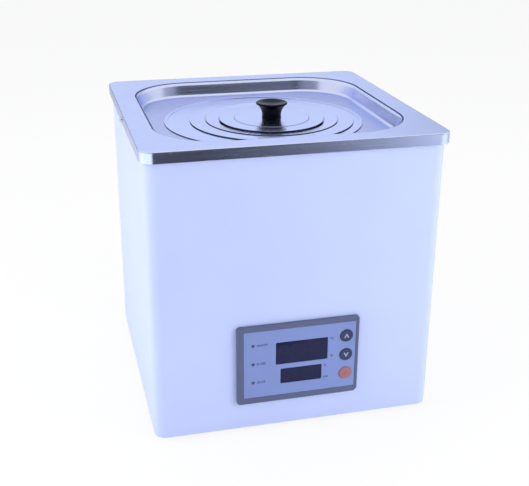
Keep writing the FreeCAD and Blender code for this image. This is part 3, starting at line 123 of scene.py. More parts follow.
def rounded_outline(half_x, half_y, radius, steps, x=0.0, y=0.0):
    """Points round a rectangle with rounded corners, from the corner at +x +y on. Each corner has
    steps + 3 of them, the first and the last on the straight sides."""
    points = []
    for i, (a, b) in enumerate(((1, 1), (-1, 1), (-1, -1), (1, -1))):
        start, end = 90 * i, 90 * i + 90
        corner = arc(x + a * (half_x - radius), y + b * (half_y - radius), radius, start, end, steps)
        for (u, v), degrees in ((corner[0], start - 90), (corner[-1], end + 90)):
            t = math.radians(degrees)
            corner.append((u + BRACE * math.cos(t), v + BRACE * math.sin(t)))
        points += [corner[-2]] + corner[:-2] + [corner[-1]]
    return points


def lathe(name, profile, centre, axis="z", steps=192):
    """Turns (radius, along) points about an axis through centre. A profile that meets the axis is
    capped at both ends, any other is a closed section."""
    closed = profile[0][0] > 0 and profile[-1][0] > 0
    loops = []
    for radius, along in profile:
        loop = []
        for k in range(steps):
            t = 2 * math.pi * k / steps
            a, b = max(radius, 1e-6) * math.cos(t), max(radius, 1e-6) * math.sin(t)
            offset = {"z": (a, b, along), "y": (a, along, b), "x": (along, a, b)}[axis]
            loop.append(tuple(c + o for c, o in zip(centre, offset)))
        loops.append(loop)
    return skin(name, loops, ends=not closed, ring=closed)


def slab(name, outlines, place):
    """Skins (outline, depth) pairs; place turns (u, v, depth) into a point."""
    loops = [[place(u, v, depth) for u, v in outline] for outline, depth in outlines]
    return skin(name, loops, ends=True)


def on_front(u, v, depth):
    """A point of the front: u to the right, v up, depth outwards from the casing's middle."""
    return (u, AXIS_Y - depth, v)


# Materials
def shader(name):
    """An empty material, its tree and its shader."""
    material = bpy.data.materials.new(name)
    material.use_nodes = True
    tree = material.node_tree
    return material, tree, tree.nodes["Principled BSDF"]


def place_coords(tree, grain, spun=None):
    """Object coordinates stretched by grain; spun is the centre of circular grain."""
    coords = tree.nodes.new("ShaderNodeTexCoord")
    source = coords.outputs["Object"]
    if spun is not None:
        shift = tree.nodes.new("ShaderNodeVectorMath")
        shift.operation = "SUBTRACT"
        shift.inputs[1].default_value = (spun[0], spun[1], 0)
        tree.links.new(source, shift.inputs[0])
        split = tree.nodes.new("ShaderNodeSeparateXYZ")
        tree.links.new(shift.outputs["Vector"], split.inputs[0])
        flat = tree.nodes.new("ShaderNodeCombineXYZ")
        tree.links.new(split.outputs["X"], flat.inputs["X"])
        tree.links.new(split.outputs["Y"], flat.inputs["Y"])
        reach = tree.nodes.new("ShaderNodeVectorMath")
        reach.operation = "LENGTH"
        tree.links.new(flat.outputs["Vector"], reach.inputs[0])
        turned = tree.nodes.new("ShaderNodeCombineXYZ")
        tree.links.new(reach.outputs["Value"], turned.inputs["X"])
        tree.links.new(split.outputs["Z"], turned.inputs["Z"])
        source = turned.outputs["Vector"]
    mapping = tree.nodes.new("ShaderNodeMapping")
    mapping.inputs["Scale"].default_value = grain
    tree.links.new(source, mapping.inputs["Vector"])
    return mapping.outputs["Vector"]


def noise(tree, vector, scale, detail=4.0):
    """A noise texture's value."""
    node = tree.nodes.new("ShaderNodeTexNoise")
    node.inputs["Scale"].default_value = scale
    node.inputs["Detail"].default_value = detail
    tree.links.new(vector, node.inputs["Vector"])
    return node.outputs["Fac"]


# Most of a noise texture's values lie between these two
NOISE_LOW, NOISE_HIGH = 0.3, 0.7
# Scale of the slow change of colour over a piece, and the least roughness
BROAD = 14
LEAST_ROUGH = 0.02


def spread(tree, value, low, high):
    """A noise value stretched to run from low to high."""
    node = tree.nodes.new("ShaderNodeMapRange")
    node.inputs["From Min"].default_value = NOISE_LOW
    node.inputs["From Max"].default_value = NOISE_HIGH
    node.inputs["To Min"].default_value = low
    node.inputs["To Max"].default_value = high
    tree.links.new(value, node.inputs["Value"])
    return node.outputs["Result"]


def tint(tree, value, colour, vary):
    """A colour that wanders by vary each way with the value."""
    node = tree.nodes.new("ShaderNodeMix")
    node.data_type = "RGBA"
    node.inputs["A"].default_value = [c * (1 - vary) for c in colour] + [1]
    node.inputs["B"].default_value = [min(1, c * (1 + vary)) for c in colour] + [1]
    tree.links.new(value, node.inputs["Factor"])
    return node.outputs["Result"]


def surface(
    name, colour, roughness, metallic=0.0, scale=400, grain=(1, 1, 1), spun=None,
    vary=0.03, rough_vary=0.05, bump=0.1, height=0.0001, coat=0.0, level=0.5, edge=(1, 1, 1),
):
    """A procedural material: colour, roughness and fine relief all follow noise."""
    material, tree, bsdf = shader(name)
    fine = noise(tree, place_coords(tree, grain, spun), scale)
    broad = noise(tree, place_coords(tree, (1, 1, 1)), BROAD, detail=2.0)
    tree.links.new(tint(tree, spread(tree, broad, 0, 1), colour, vary), bsdf.inputs["Base Color"])
    low, high = max(LEAST_ROUGH, roughness - rough_vary), roughness + rough_vary
    tree.links.new(spread(tree, fine, low, high), bsdf.inputs["Roughness"])
    relief = tree.nodes.new("ShaderNodeBump")
    relief.inputs["Strength"].default_value = bump
    relief.inputs["Distance"].default_value = height
    tree.links.new(fine, relief.inputs["Height"])
    tree.links.new(relief.outputs["Normal"], bsdf.inputs["Normal"])
    bsdf.inputs["Metallic"].default_value = metallic
    bsdf.inputs["Coat Weight"].default_value = coat
    bsdf.inputs["Specular IOR Level"].default_value = level
    bsdf.inputs["Specular Tint"].default_value = (*edge, 1)
    return material


STEEL = (0.64, 0.69, 0.93)
STEEL_EDGE = (0.88, 0.92, 1.0)
BRUSHED = (0.04, 1, 1)
paint = surface("casing_paint", (0.54, 0.62, 0.95), 0.42, scale=900, vary=0.012, bump=0.05, level=0.4)
brushed = surface(
    "brushed_top", STEEL, 0.24, metallic=1.0, scale=700, grain=BRUSHED, vary=0.02,
    rough_vary=0.04, bump=0.06, height=0.00004, edge=STEEL_EDGE,
)
spun_steel = surface(
    "spun_steel", STEEL, 0.20, metallic=1.0, scale=900, spun=(STACK_X, AXIS_Y), vary=0.02,
    rough_vary=0.04, bump=0.06, height=0.00004, edge=STEEL_EDGE,
)
spun_outer = surface(
    "spun_steel_outer", STEEL, 0.20, metallic=1.0, scale=900, spun=(0, AXIS_Y), vary=0.02,
    rough_vary=0.04, bump=0.06, height=0.00004, edge=STEEL_EDGE,
)
# The tray's floor: the same steel made rougher, its colour darkened as painted shade in the recess
rough_shaded_floor = surface(
    "tray_floor", (0.52, 0.56, 0.78), 0.30, metallic=1.0, scale=700, grain=BRUSHED, vary=0.04,
    rough_vary=0.04, bump=0.06, height=0.00004, edge=STEEL_EDGE,
)
# Painted shade: near-black steel that stands for the shade on the rings' rolled edges and the lid's slope
painted_shade_steel = surface(
    "painted_shade_steel", (0.04, 0.045, 0.08), 0.28, metallic=1.0, scale=500, vary=0.05, bump=0.05,
    edge=(0.1, 0.11, 0.2),
)
# Painted reflection: dark steel standing for the dark horizon mirrored where the rim bends into the tray
rim_painted_reflection = surface(
    "rim_painted_reflection", (0.14, 0.16, 0.26), 0.28, metallic=1.0, scale=500, vary=0.05, bump=0.05,
    edge=(0.3, 0.33, 0.5),
)
drawn_steel = surface("drawn_steel", (0.55, 0.56, 0.62), 0.30, metallic=1.0, scale=300, vary=0.03)
zinc = surface("zinc_sheet", (0.50, 0.52, 0.55), 0.38, metallic=0.9, scale=60, vary=0.10)
screw_steel = surface("screw_steel", (0.62, 0.63, 0.66), 0.22, metallic=1.0, scale=500)
brass = surface("brass", (0.66, 0.50, 0.24), 0.26, metallic=1.0, scale=350, vary=0.05)
knob_black = surface(
    "knob_black", (0.002, 0.002, 0.004), 0.20, scale=600, vary=0.10, bump=0.05, level=0.07,
    edge=(0.65, 0.75, 1.0),
)
bezel_slate = surface(
    "bezel_slate", (0.104, 0.125, 0.225), 0.45, scale=1200, vary=0.05, bump=0.15, level=0.25,
)
face_foil = surface(
    "face_foil", (0.205, 0.275, 0.58), 0.42, scale=1500, vary=0.03, bump=0.10, level=0.4,
)
window_dark = surface(
    "window_dark", (0.016, 0.020, 0.062), 0.12, scale=300, vary=0.10, bump=0.01, level=0.12,
)
digit_ghost = surface("digit_ghost", (0.022, 0.022, 0.060), 0.20, scale=300, vary=0.05, level=0.12)
slate = surface(
    "slate_button", (0.034, 0.046, 0.110), 0.40, scale=900, vary=0.06, bump=0.15, level=0.3,
)
salmon = surface(
    "red_button", (0.33, 0.165, 0.185), 0.45, scale=900, vary=0.05, bump=0.15, level=0.2,
)
print_pale = surface("pale_print", (0.34, 0.39, 0.56), 0.5, scale=900)
print_dark = surface("dark_print", (0.05, 0.065, 0.20), 0.5, scale=900)
mark_orange = surface("orange_print", (0.52, 0.13, 0.09), 0.5, scale=900, level=0.2)
lamp = surface("lamp_lens", (0.05, 0.06, 0.14), 0.15, scale=300, coat=0.4)
black = surface("black_plastic", (0.012, 0.012, 0.014), 0.40, scale=900, vary=0.10, bump=0.2)
grey = surface("grey_plastic", (0.10, 0.105, 0.115), 0.55, scale=700, vary=0.05, bump=0.2)
board_green = surface("board_green", (0.01, 0.09, 0.03), 0.35, scale=200, vary=0.2)
rubber = surface("rubber", (0.012, 0.012, 0.012), 0.70, scale=500, vary=0.1, bump=0.3)
tube = surface("silicone_tube", (0.55, 0.54, 0.50), 0.40, scale=300, vary=0.03)
wool = surface(
    "glass_wool", (0.60, 0.52, 0.25), 0.95, scale=250, grain=(1, 1, 0.2), vary=0.2, bump=1.0,
    height=0.001,
)
lever_red = surface("lever_red", (0.42, 0.022, 0.020), 0.33, scale=700, vary=0.05, bump=0.1)

# The CAD nodes that keep their own mesh, by material
CARRIED = {
    paint: ["housing", "rear_cover"],
    zinc: ["base_plate"],
    drawn_steel: ["tank", "shelf", "heater", "probe"],
    screw_steel: [
        "base_screws", "foot_screws", "cover_screws", "top_plate_screws", "knob_screw",
        "knob_washer", "tap_lever_screw",
    ],
    brass: [
        "heater_bushes", "tank_nuts", "drain_outlet", "tap_body", "tap_nut", "tap_plug",
        "inlet_pins", "switch_terminals",
    ],
    black: [
        "power_inlet", "switch_frame", "fuse_holder", "fuse_cap", "fuse_nut", "controller_case",
        "relay", "switch_rocker", "upper_display", "lower_display", "button_switches",
    ],
    grey: ["controller_clamps", "terminal_block", "transformer"],
    board_green: ["display_board", "power_board"],
    rubber: ["feet", "tank_gaskets", "tap_gasket"],
    tube: ["drain_tube"],
    wool: ["tank_insulation"],
    lever_red: ["tap_lever"],
    face_foil: ["face_plate"],
}


def dress(thing, material):
    """Gives a piece one material."""
    thing.data.materials.clear()
    thing.data.materials.append(material)
    return thing


for material, names in CARRIED.items():
    for name in names:
        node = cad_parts[name]
        node.data.shade_smooth()
        node.data.set_sharp_from_angle(angle=SMOOTH)
        dress(node, material)


# Pressed top: its plate and skirt, and the tray's rim, leaning wall, root and round mouth
PLATE_HALF = 0.140
PLATE_CORNER = 0.012
TRAY_HALF = 0.1172
TRAY_CORNER = 0.0567
WALL_RUN = 0.0037
LEAN = math.degrees(math.atan(WALL_RUN / TRAY_DEPTH))
SHEET = 0.001
FOLD = 0.0014
RIM = 0.005
ROOT = 0.0035
MOUTH = 0.0962
SKIRT = 0.0105
STEPS = 24


def level_outline(half, corner, z):
    """A rounded square about the tank's axis at one height."""
    return [(x, AXIS_Y + y, z) for x, y in rounded_outline(half, half, corner, STEPS)]


def mouth_outline(z, directions):
    """The round mouth, its points in the same directions as those of the floor's outline."""
    loop = []
    for x, y, _ in directions:
        t = math.atan2(y - AXIS_Y, x)
        loop.append((MOUTH * math.cos(t), AXIS_Y + MOUTH * math.sin(t), z))
    return loop


def tray_section(offset):
    """(half width, height) down the tray's wall; offset is how far inside the sheet."""
    turn = 90 - LEAN
    reach = math.tan(math.radians(turn / 2))
    rim_x = TRAY_HALF + RIM * reach
    root_x = TRAY_HALF - WALL_RUN - ROOT * reach
    rim = arc(rim_x, TOP - RIM, RIM - offset, 90, 90 + turn)
    return rim + arc(root_x, TRAY + ROOT, ROOT + offset, -LEAN, -LEAN - turn)


stations = [(PLATE_HALF - SHEET, TOP - SKIRT), (PLATE_HALF, TOP - SKIRT)]
stations += arc(PLATE_HALF - FOLD, TOP - FOLD, FOLD, 0, 90, 6)
loops = [level_outline(half, PLATE_CORNER - (PLATE_HALF - half), z) for half, z in stations]
upper = [level_outline(half, TRAY_CORNER + half - TRAY_HALF, z) for half, z in tray_section(0)]
lower = [level_outline(half, TRAY_CORNER + half - TRAY_HALF, z) for half, z in tray_section(SHEET)]
loops += upper
loops.append(mouth_outline(TRAY, upper[-1]))
loops.append(mouth_outline(TRAY - SHEET, upper[-1]))
loops += lower[::-1]
loops.append(level_outline(PLATE_HALF - SHEET, PLATE_CORNER - SHEET, TOP - SHEET))
top_plate = add_object("pressed_top", skin("pressed_top", loops, ring=True), "casing", "top_plate")
for material in (brushed, rough_shaded_floor, rim_painted_reflection):
    top_plate.data.materials.append(material)

# Darker faces: the tray's floor, in rougher steel with painted shade in its colour, and the strip where
# the level rim begins to bend into the tray, with a painted dark reflection
FLOOR_SLOT, PAINTED_REFLECTION_SLOT = 1, 2
FLOOR_UP = 0.9
CREASE_LOW, CREASE_HIGH = 0.80, 0.94
INNER_HALF = PLATE_HALF - 0.005
for face in top_plate.data.polygons:
    z, up = face.center.z, face.normal.z
    inside = max(abs(face.center.x), abs(face.center.y - AXIS_Y)) < INNER_HALF
    if z < TRAY + SHEET / 2 and up > FLOOR_UP:
        face.material_index = FLOOR_SLOT
    elif inside and z > TOP - SHEET and CREASE_LOW < up < CREASE_HIGH:
        face.material_index = PAINTED_REFLECTION_SLOT


# Nested rings and lid
RING_SHEET = 0.0006
BEND = 0.00025
SEAT_1 = TRAY + 0.0003
SEAT_2 = SEAT_1 + 0.0007
FALL_3 = 0.0016
SEAT_3 = SEAT_2 + 0.0005 - FALL_3
# Each ring's node, its middle, the height it rests at, then its radius, the height of its lip, the
# radius of its seat, that of its hole, how deep the seat lies, and how far its inner crest falls
RINGS = (
    ("ring_1", 0.0, TRAY, 0.0985, 0.0008, 0.0950, 0.0710, 0.0006, 0.0),
    ("ring_2", STACK_X, SEAT_1, 0.0817, 0.0009, 0.0666, 0.0605, 0.0003, 0.0),
    ("ring_3", STACK_X, SEAT_2, 0.0660, 0.0009, 0.0529, 0.0475, 0.0006, FALL_3),
)
# The lid's outer edge, the flat inside it, its raised middle, the slope up to that, and the
# hole for the knob's screw
LID_R = 0.052
LID_EDGE = 0.0018
LID_FLAT = 0.0020
BOSS = 0.0023
SLOPE_R = 0.0378
BOSS_R = 0.0370
EASE_R, EASE = 0.0002, 0.00005
HOLE_R = 0.00255
# How far in a rolled edge reaches, and how little the normals of edge and slope point up, where painted
# shade is given
ROLL = 0.0003
EDGE_UP = 0.75
SLOPE_UP = 0.93


def shade_edges(thing, x, radius):
    """Painted shade on a ring's outer edge, where it rolls down, and on the lid's slope: near-black steel.
    """
    thing.data.materials.append(painted_shade_steel)
    for face in thing.data.polygons:
        away = math.hypot(face.center.x - x, face.center.y - AXIS_Y)
        level = abs(face.normal.z)
        on_edge = away > radius - ROLL and level < EDGE_UP
        on_slope = BOSS_R + EASE_R / 2 < away < SLOPE_R - EASE_R / 2 and level < SLOPE_UP
        if on_edge or on_slope:
            face.material_index = 1
    return thing


def ring_profile(radius, lip, seat, hole, step, fall):
    """The section of a pressed ring, its two crests rounded, the inner one lower by fall."""
    inner = lip - fall
    ledge = inner - step
    under = ledge - RING_SHEET
    wall, edge = seat + RING_SHEET, radius - RING_SHEET
    return (
        [(radius, 0.0)]
        + arc(radius - BEND, lip - BEND, BEND, 0, 90, 4)
        + arc(seat + BEND, inner - BEND, BEND, 90, 180, 4)
        + [(seat, ledge), (hole, ledge), (hole, under), (wall, under), (wall, inner - RING_SHEET)]
        + [(edge, lip - RING_SHEET), (edge, 0.0)]
    )


for node, x, base, radius, *section in RINGS:
    shape = lathe("pressed_" + node, ring_profile(radius, *section), (x, AXIS_Y, base))
    ring = add_object("pressed_" + node, shape, "casing", node)
    dress(ring, spun_outer if x == 0 else spun_steel)
    shade_edges(ring, x, radius)

lid_profile = (
    [(LID_R, 0.0)]
    + arc(LID_R - BEND, LID_EDGE - BEND, BEND, 0, 90, 4)
    + [(SLOPE_R, LID_FLAT), (SLOPE_R - EASE_R, LID_FLAT + EASE), (BOSS_R + EASE_R, BOSS - EASE)]
    + [(BOSS_R, BOSS), (HOLE_R, BOSS), (HOLE_R, BOSS - RING_SHEET), (BOSS_R, BOSS - RING_SHEET)]
    + [(SLOPE_R, LID_FLAT - RING_SHEET), (LID_R - RING_SHEET, LID_EDGE - RING_SHEET)]
    + [(LID_R - RING_SHEET, 0.0)]
)
lid_mesh = lathe("pressed_lid", lid_profile, (STACK_X, AXIS_Y, SEAT_3))
lid = add_object("pressed_lid", lid_mesh, "casing", "lid")
shade_edges(dress(lid, spun_steel), STACK_X, LID_R)

# Knob: waisted, with a rounded rim and a dished top
LID_TOP = SEAT_3 + BOSS
KNOB_HEIGHT = 0.0155
KNOB_RIM = 0.0156
KNOB_WAIST = 0.0094
KNOB_BASE = 0.0097
BASE_BEVEL = 0.0003
TOE_Z = 0.0008
WAIST_Z = 0.0022
RIM_Z = KNOB_HEIGHT - 0.0016
RIM_BEVEL = 0.0004
RIM_ROUND = 0.0012
DISH_DEPTH = 0.0022
DISH_R = KNOB_RIM - 0.0024
DISH_STEPS = 12


def bend_radius(off, run):
    """The radius of an arc that comes off its tangent by off over a run."""
    return (off**2 + run**2) / 2 / off


toe = bend_radius(KNOB_BASE - KNOB_WAIST, WAIST_Z - TOE_Z)
toe_turn = math.degrees(math.asin((WAIST_Z - TOE_Z) / toe))
flare = bend_radius(KNOB_RIM - RIM_BEVEL - KNOB_WAIST, RIM_Z - WAIST_Z)
flare_turn = math.degrees(math.asin((RIM_Z - WAIST_Z) / flare))
sphere = bend_radius(DISH_DEPTH, DISH_R)
knob_profile = [(HOLE_R, 0.0), (KNOB_BASE - BASE_BEVEL, 0.0), (KNOB_BASE, BASE_BEVEL), (KNOB_BASE, TOE_Z)]
knob_profile += arc(KNOB_WAIST + toe, WAIST_Z, toe, 180 + toe_turn, 180, 6)[1:]
knob_profile += arc(KNOB_WAIST + flare, WAIST_Z, flare, 180, 180 - flare_turn, 14)[1:]
knob_profile += arc(KNOB_RIM - RIM_ROUND, KNOB_HEIGHT - RIM_ROUND, RIM_ROUND, -20, 90, 8)
for k in range(1, DISH_STEPS + 1):
    r = DISH_R * (1 - k / DISH_STEPS)
    knob_profile.append((r, KNOB_HEIGHT - DISH_DEPTH + sphere - math.sqrt(sphere**2 - r**2)))
knob_mesh = lathe("knob", knob_profile, (STACK_X, AXIS_Y, LID_TOP), steps=128)
knob = dress(add_object("waisted_knob", knob_mesh, "casing", "lid_knob"), knob_black)


# Controller: its frame and the face inside it, seen from the front
PANEL_Z = FOOT + 0.0678
OUT_X, OUT_Z = 0.05925, 0.0405
OUT_CORNER = 0.003
FRAME = {"left": 0.0063, "right": 0.0032, "top": 0.0052, "bottom": 0.0064}
FACE_X = (FRAME["left"] - FRAME["right"]) / 2
FACE_Z = PANEL_Z + (FRAME["bottom"] - FRAME["top"]) / 2
FACE_HALF_X = OUT_X - (FRAME["left"] + FRAME["right"]) / 2
FACE_HALF_Z = OUT_Z - (FRAME["bottom"] + FRAME["top"]) / 2
FACE_CORNER = 0.001
LEDGE = 0.0015
LEDGE_CORNER = 0.0008
OUTER_ROUND, INNER_ROUND = 0.0012, 0.0006
CORNER_STEPS = 8
# How far its layers lie in front of the casing's middle
CASING_HALF = 0.1367
PROUD = 0.004
FACE_FRONT = CASING_HALF + PROUD - 0.0005
FACE_BACK = FACE_FRONT - 0.0015
PANE_FRONT = FACE_FRONT - 0.0003
PANE_BACK = PANE_FRONT - 0.0024
BOARD_FRONT = PANE_BACK - 0.008


def frame_loop(half_x, half_z, radius, x, z, depth):
    """One loop of the controller frame."""
    outline = rounded_outline(half_x, half_z, radius, CORNER_STEPS, x, z)
    return [on_front(u, v, depth) for u, v in outline]


def outer_loop(inset, depth):
    """The frame's outer edge; its lower right corner, the last one, is cut off straight."""
    u, v, r = OUT_X - inset, OUT_Z - inset, OUT_CORNER - inset / 2
    loop = frame_loop(u, v, r, 0, PANEL_Z, depth)
    first = 3 * (CORNER_STEPS + 3) + 1
    for k in range(CORNER_STEPS + 1):
        cut = r * k / CORNER_STEPS
        loop[first + k] = on_front(u - r + cut, PANEL_Z - v + cut, depth)
    return loop


def face_loop(grow, radius, depth):
    """One loop round the face, wider than it by grow on every side."""
    return frame_loop(FACE_HALF_X + grow, FACE_HALF_Z + grow, radius, FACE_X, FACE_Z, depth)


bezel_loops = [outer_loop(0.0, CASING_HALF)]
for inset, rise in arc(OUTER_ROUND, PROUD - OUTER_ROUND, OUTER_ROUND, 180, 90, 5):
    bezel_loops.append(outer_loop(inset, CASING_HALF + rise))
for grow, rise in arc(INNER_ROUND, PROUD - INNER_ROUND, INNER_ROUND, 90, 180, 4):
    bezel_loops.append(face_loop(grow, FACE_CORNER + grow, CASING_HALF + rise))
bezel_loops.append(face_loop(0.0, FACE_CORNER, FACE_BACK))
bezel_loops.append(face_loop(-LEDGE, LEDGE_CORNER, FACE_BACK))
bezel_loops.append(face_loop(-LEDGE, LEDGE_CORNER, CASING_HALF))
bezel = add_object("controller_frame", skin("controller_frame", bezel_loops, ring=True), "casing", "bezel")
dress(bezel, bezel_slate)

# Each window's middle, width and height, and the height of its digits
WINDOWS = {
    "upper": (0.0031, FOOT + 0.0779, 0.0506, 0.0232, 0.0142),
    "lower": (0.0027, FOOT + 0.0535, 0.0404, 0.0160, 0.0100),
}
PANE_GAP = 0.0001
PANE_CORNER = 0.001
PANE_ROUND = 0.0003
for part, (x, z, width, height, digit) in WINDOWS.items():
    half_x, half_z = width / 2 - PANE_GAP, height / 2 - PANE_GAP
    outlines = [(rounded_outline(half_x, half_z, PANE_CORNER, 6, x, z), PANE_BACK)]
    for inset, rise in arc(PANE_ROUND, -PANE_ROUND, PANE_ROUND, 180, 90, 3):
        outline = rounded_outline(half_x - inset, half_z - inset, PANE_CORNER - inset, 6, x, z)
        outlines.append((outline, PANE_FRONT + rise))
    pane = add_object(part + "_pane", slab(part + "_pane", outlines, on_front), "casing", part + "_window")
    dress(pane, window_dark)

# Unlit digits: how many, their pitch as a share of the window's width, how far they slant, and the
# layer just in front of the panes that they lie in
DIGITS = 4
DIGIT_PITCH = 1 / 4.3
SLANT = 0.08
GHOST_FRONT = PANE_FRONT + 0.00002
# Sizes of a digit's bars: the first three are shares of its height, the last two of its width
DIGIT_WIDTH = 0.52
BAR_HALF_THICK = 0.055
BAR_HALF_UP = 0.20
BAR_HALF_ACROSS = 0.40
BAR_SIDE = 0.52


def digit_bars(x, z, tall):
    """The seven bars of one unlit digit, as (x, z, half width, half height)."""
    wide, thick = tall * DIGIT_WIDTH, tall * BAR_HALF_THICK
    bars = []
    for side in (-BAR_SIDE, BAR_SIDE):
        for half in (-0.25, 0.25):
            bars.append((x + side * wide, z + half * tall, thick, tall * BAR_HALF_UP))
    for level in (0.5, 0.0, -0.5):
        bars.append((x, z + level * tall, wide * BAR_HALF_ACROSS, thick))
    return bars


for part, (x, z, width, height, digit) in WINDOWS.items():
    verts, faces = [], []
    for i in range(DIGITS):
        middle = x + (i - (DIGITS - 1) / 2) * width * DIGIT_PITCH
        for u, v, a, b in digit_bars(middle, z, digit):
            start = len(verts)
            corners = ((-a, -b), (a, -b), (a, b), (-a, b))
            verts += [on_front(u + p + SLANT * (v - z), v + q, GHOST_FRONT) for p, q in corners]
            faces.append((start, start + 1, start + 2, start + 3))
    ghost = add_object(part + "_digits", mesh_from(part + "_digits", verts, faces), "casing")
    dress(ghost, digit_ghost)

# Lettering of the face
FACING_FRONT = Matrix.Rotation(math.radians(90), 4, "X")
INK_THICK, INK_SWELL = 0.00004, 0.00008


def front_text(name, words, size, place, align="CENTER"):
    """Thin raised lettering on the controller's face."""
    curve = bpy.data.curves.new(name, "FONT")
    curve.body = words
    curve.size = size
    curve.extrude = INK_THICK
    curve.offset = INK_SWELL
    curve.align_x = align
    curve.align_y = "CENTER"
    curve.materials.append(print_dark)
    thing = bpy.data.objects.new(name, curve)
    bpy.context.scene.collection.objects.link(thing)
    thing.matrix_world = Matrix.Translation(place) @ FACING_FRONT
    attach(thing, "casing")


LAMP_X = -0.044
LAMP_Z = [FOOT + 0.0886 - i * 0.0194 for i in range(3)]
LAMP_MARK_X = -0.0405
LAMP_MARKS = (("ON/OFF", 0.0029), ("0-100", 0.0036), ("20-25", 0.0036))
for i, (z, (words, size)) in enumerate(zip(LAMP_Z, LAMP_MARKS)):
    front_text(f"lamp_mark_{i}", words, size, on_front(LAMP_MARK_X, z, FACE_FRONT), align="LEFT")
# Each unit's middle, with its height over the casing's underside, then its letters and their size
UNITS = (
    (0.0322, 0.0874, "°C", 0.0040),
    (0.0322, 0.0686, "°F", 0.0040),
    (0.0264, 0.0596, "h", 0.0040),
    (0.0270, 0.0474, "min", 0.0034),
)
for i, (x, z, words, size) in enumerate(UNITS):
    front_text(f"unit_mark_{i}", words, size, on_front(x, FOOT + z, FACE_FRONT))

# Buttons: a stem, a flange and a round cap with a shallow dish, and a raised mark
BUTTON_X = 0.0467
BUTTON_Z = [FOOT + 0.0888 - i * 0.020 for i in range(3)]
BUTTONS = (
    ("up_button", slate, "slate_button", 1),
    ("down_button", slate, "slate_button", -1),
    ("set_button", salmon, "red_button", 0),
)
STEM_R, FLANGE_R, BUTTON_R = 0.002, 0.0075, 0.0062
SWITCH_HEIGHT = 0.004
TRAVEL = 0.0006
STEM_BACK = BOARD_FRONT + SWITCH_HEIGHT + TRAVEL + 0.0002
FLANGE_FRONT = FACE_BACK - 0.00005
FLANGE_BACK = FLANGE_FRONT - 0.001
BUTTON_FRONT = FACE_FRONT + 0.0010
# The cap's edge and dish, as (how far in from its radius, how far behind its front)
BUTTON_EDGE = (
    (0.0, 0.0006), (0.0001, 0.0003), (0.0003, 0.0001), (0.0006, 0.0), (0.0016, 0.0), (0.0020, 0.0001),
)
DISH = 0.0002
MARK_BACK, MARK_FRONT = BUTTON_FRONT - 0.0003, BUTTON_FRONT + 0.00002
ARROW = (
    (-0.0025, -0.0018), (0.0, 0.0026), (0.0025, -0.0018), (0.0015, -0.0024), (0.0, 0.0003),
    (-0.0015, -0.0024),
)
MARK_RING = (0.0012, 0.0025)

cap_profile = [(0.0, -STEM_BACK), (STEM_R, -STEM_BACK), (STEM_R, -FLANGE_BACK)]
cap_profile += [(FLANGE_R, -FLANGE_BACK), (FLANGE_R, -FLANGE_FRONT), (BUTTON_R, -FLANGE_FRONT)]
cap_profile += [(BUTTON_R - a, -(BUTTON_FRONT - b)) for a, b in BUTTON_EDGE]
cap_profile.append((0.0, -(BUTTON_FRONT - DISH)))
for (node, material, slot, sign), z in zip(BUTTONS, BUTTON_Z):
    cap_mesh = lathe(node + "_cap", cap_profile, (BUTTON_X, AXIS_Y, z), axis="y", steps=96)
    cap = dress(add_object(node + "_cap", cap_mesh, node, node), material)
    if sign:
        points = [(BUTTON_X + u, z + sign * v) for u, v in ARROW]
        mark = slab(node + "_mark", [(points, MARK_BACK), (points, MARK_FRONT)], on_front)
        dress(add_object(node + "_mark", mark, node), print_pale)
    else:
        inner, outer = MARK_RING
        band = [(inner, -MARK_BACK), (outer, -MARK_BACK), (outer, -MARK_FRONT), (inner, -MARK_FRONT)]
        mark = lathe(node + "_mark", band, (BUTTON_X, AXIS_Y, z), axis="y", steps=64)
        dress(add_object(node + "_mark", mark, node), mark_orange)

# Cross recesses of the screws: height of a head, half length and half width of a cross's bars, and
# the depths between which the cross lies, measured outwards from the head's top
HEAD = 0.0018
CROSS, CROSS_BAR = 0.0011, 0.000242
CROSS_BACK, CROSS_FRONT = -0.0003, 0.00003


def cross_recess(name, centre, axis, sign):
    """The dark cross in a screw's head, in the plane across its axis."""
    a, b = CROSS, CROSS_BAR
    star = [(-a, -b), (-b, -b), (-b, -a), (b, -a), (b, -b), (a, -b)]
    star += [(-u, -v) for u, v in star]
    loops = []
    for depth in (CROSS_BACK, CROSS_FRONT):
        d = sign * depth
        turned = {"x": (d, 0, 0), "y": (0, d, 0), "z": (0, 0, d)}[axis]
        loop = []
        for u, v in star:
            flat = {"x": (0, u, v), "y": (u, 0, v), "z": (u, v, 0)}[axis]
            loop.append(tuple(c + t + f for c, t, f in zip(centre, turned, flat)))
        loops.append(loop)
    dress(add_object(name, skin(name, loops, ends=True), "casing"), black)


# Each screw's axis, the side its head is on and the head's place: the sides and rear of the skirt,
# the service cover, the base and the feet
SKIRT_SCREW_Z = TOP - SKIRT / 2 - 0.002
COVER_Z = 0.071
COVER_SCREW_X, COVER_SCREW_Z = 0.107, 0.042
BASE_SCREW = 0.1287
FOOT_SCREW = 0.1097
FOOT_SCREW_Z = FOOT - 0.001 - HEAD
SCREWS = [("x", sign, (sign * (PLATE_HALF + HEAD), AXIS_Y, SKIRT_SCREW_Z)) for sign in (-1, 1)]
SCREWS.append(("y", 1, (0, AXIS_Y + PLATE_HALF + HEAD, SKIRT_SCREW_Z)))
for x in (-COVER_SCREW_X, COVER_SCREW_X):
    for z in (COVER_Z - COVER_SCREW_Z, COVER_Z + COVER_SCREW_Z):
        SCREWS.append(("y", 1, (x, AXIS_Y + CASING_HALF + HEAD, z)))
for x, y in ((-BASE_SCREW, 0), (BASE_SCREW, 0), (0, -BASE_SCREW), (0, BASE_SCREW)):
    SCREWS.append(("z", -1, (x, AXIS_Y + y, FOOT - HEAD)))
for x in (-FOOT_SCREW, FOOT_SCREW):
    for y in (-FOOT_SCREW, FOOT_SCREW):
        SCREWS.append(("z", -1, (x, AXIS_Y + y, FOOT_SCREW_Z)))
for i, (axis, sign, centre) in enumerate(SCREWS):
    cross_recess(f"screw_cross_{i}", centre, axis, sign)

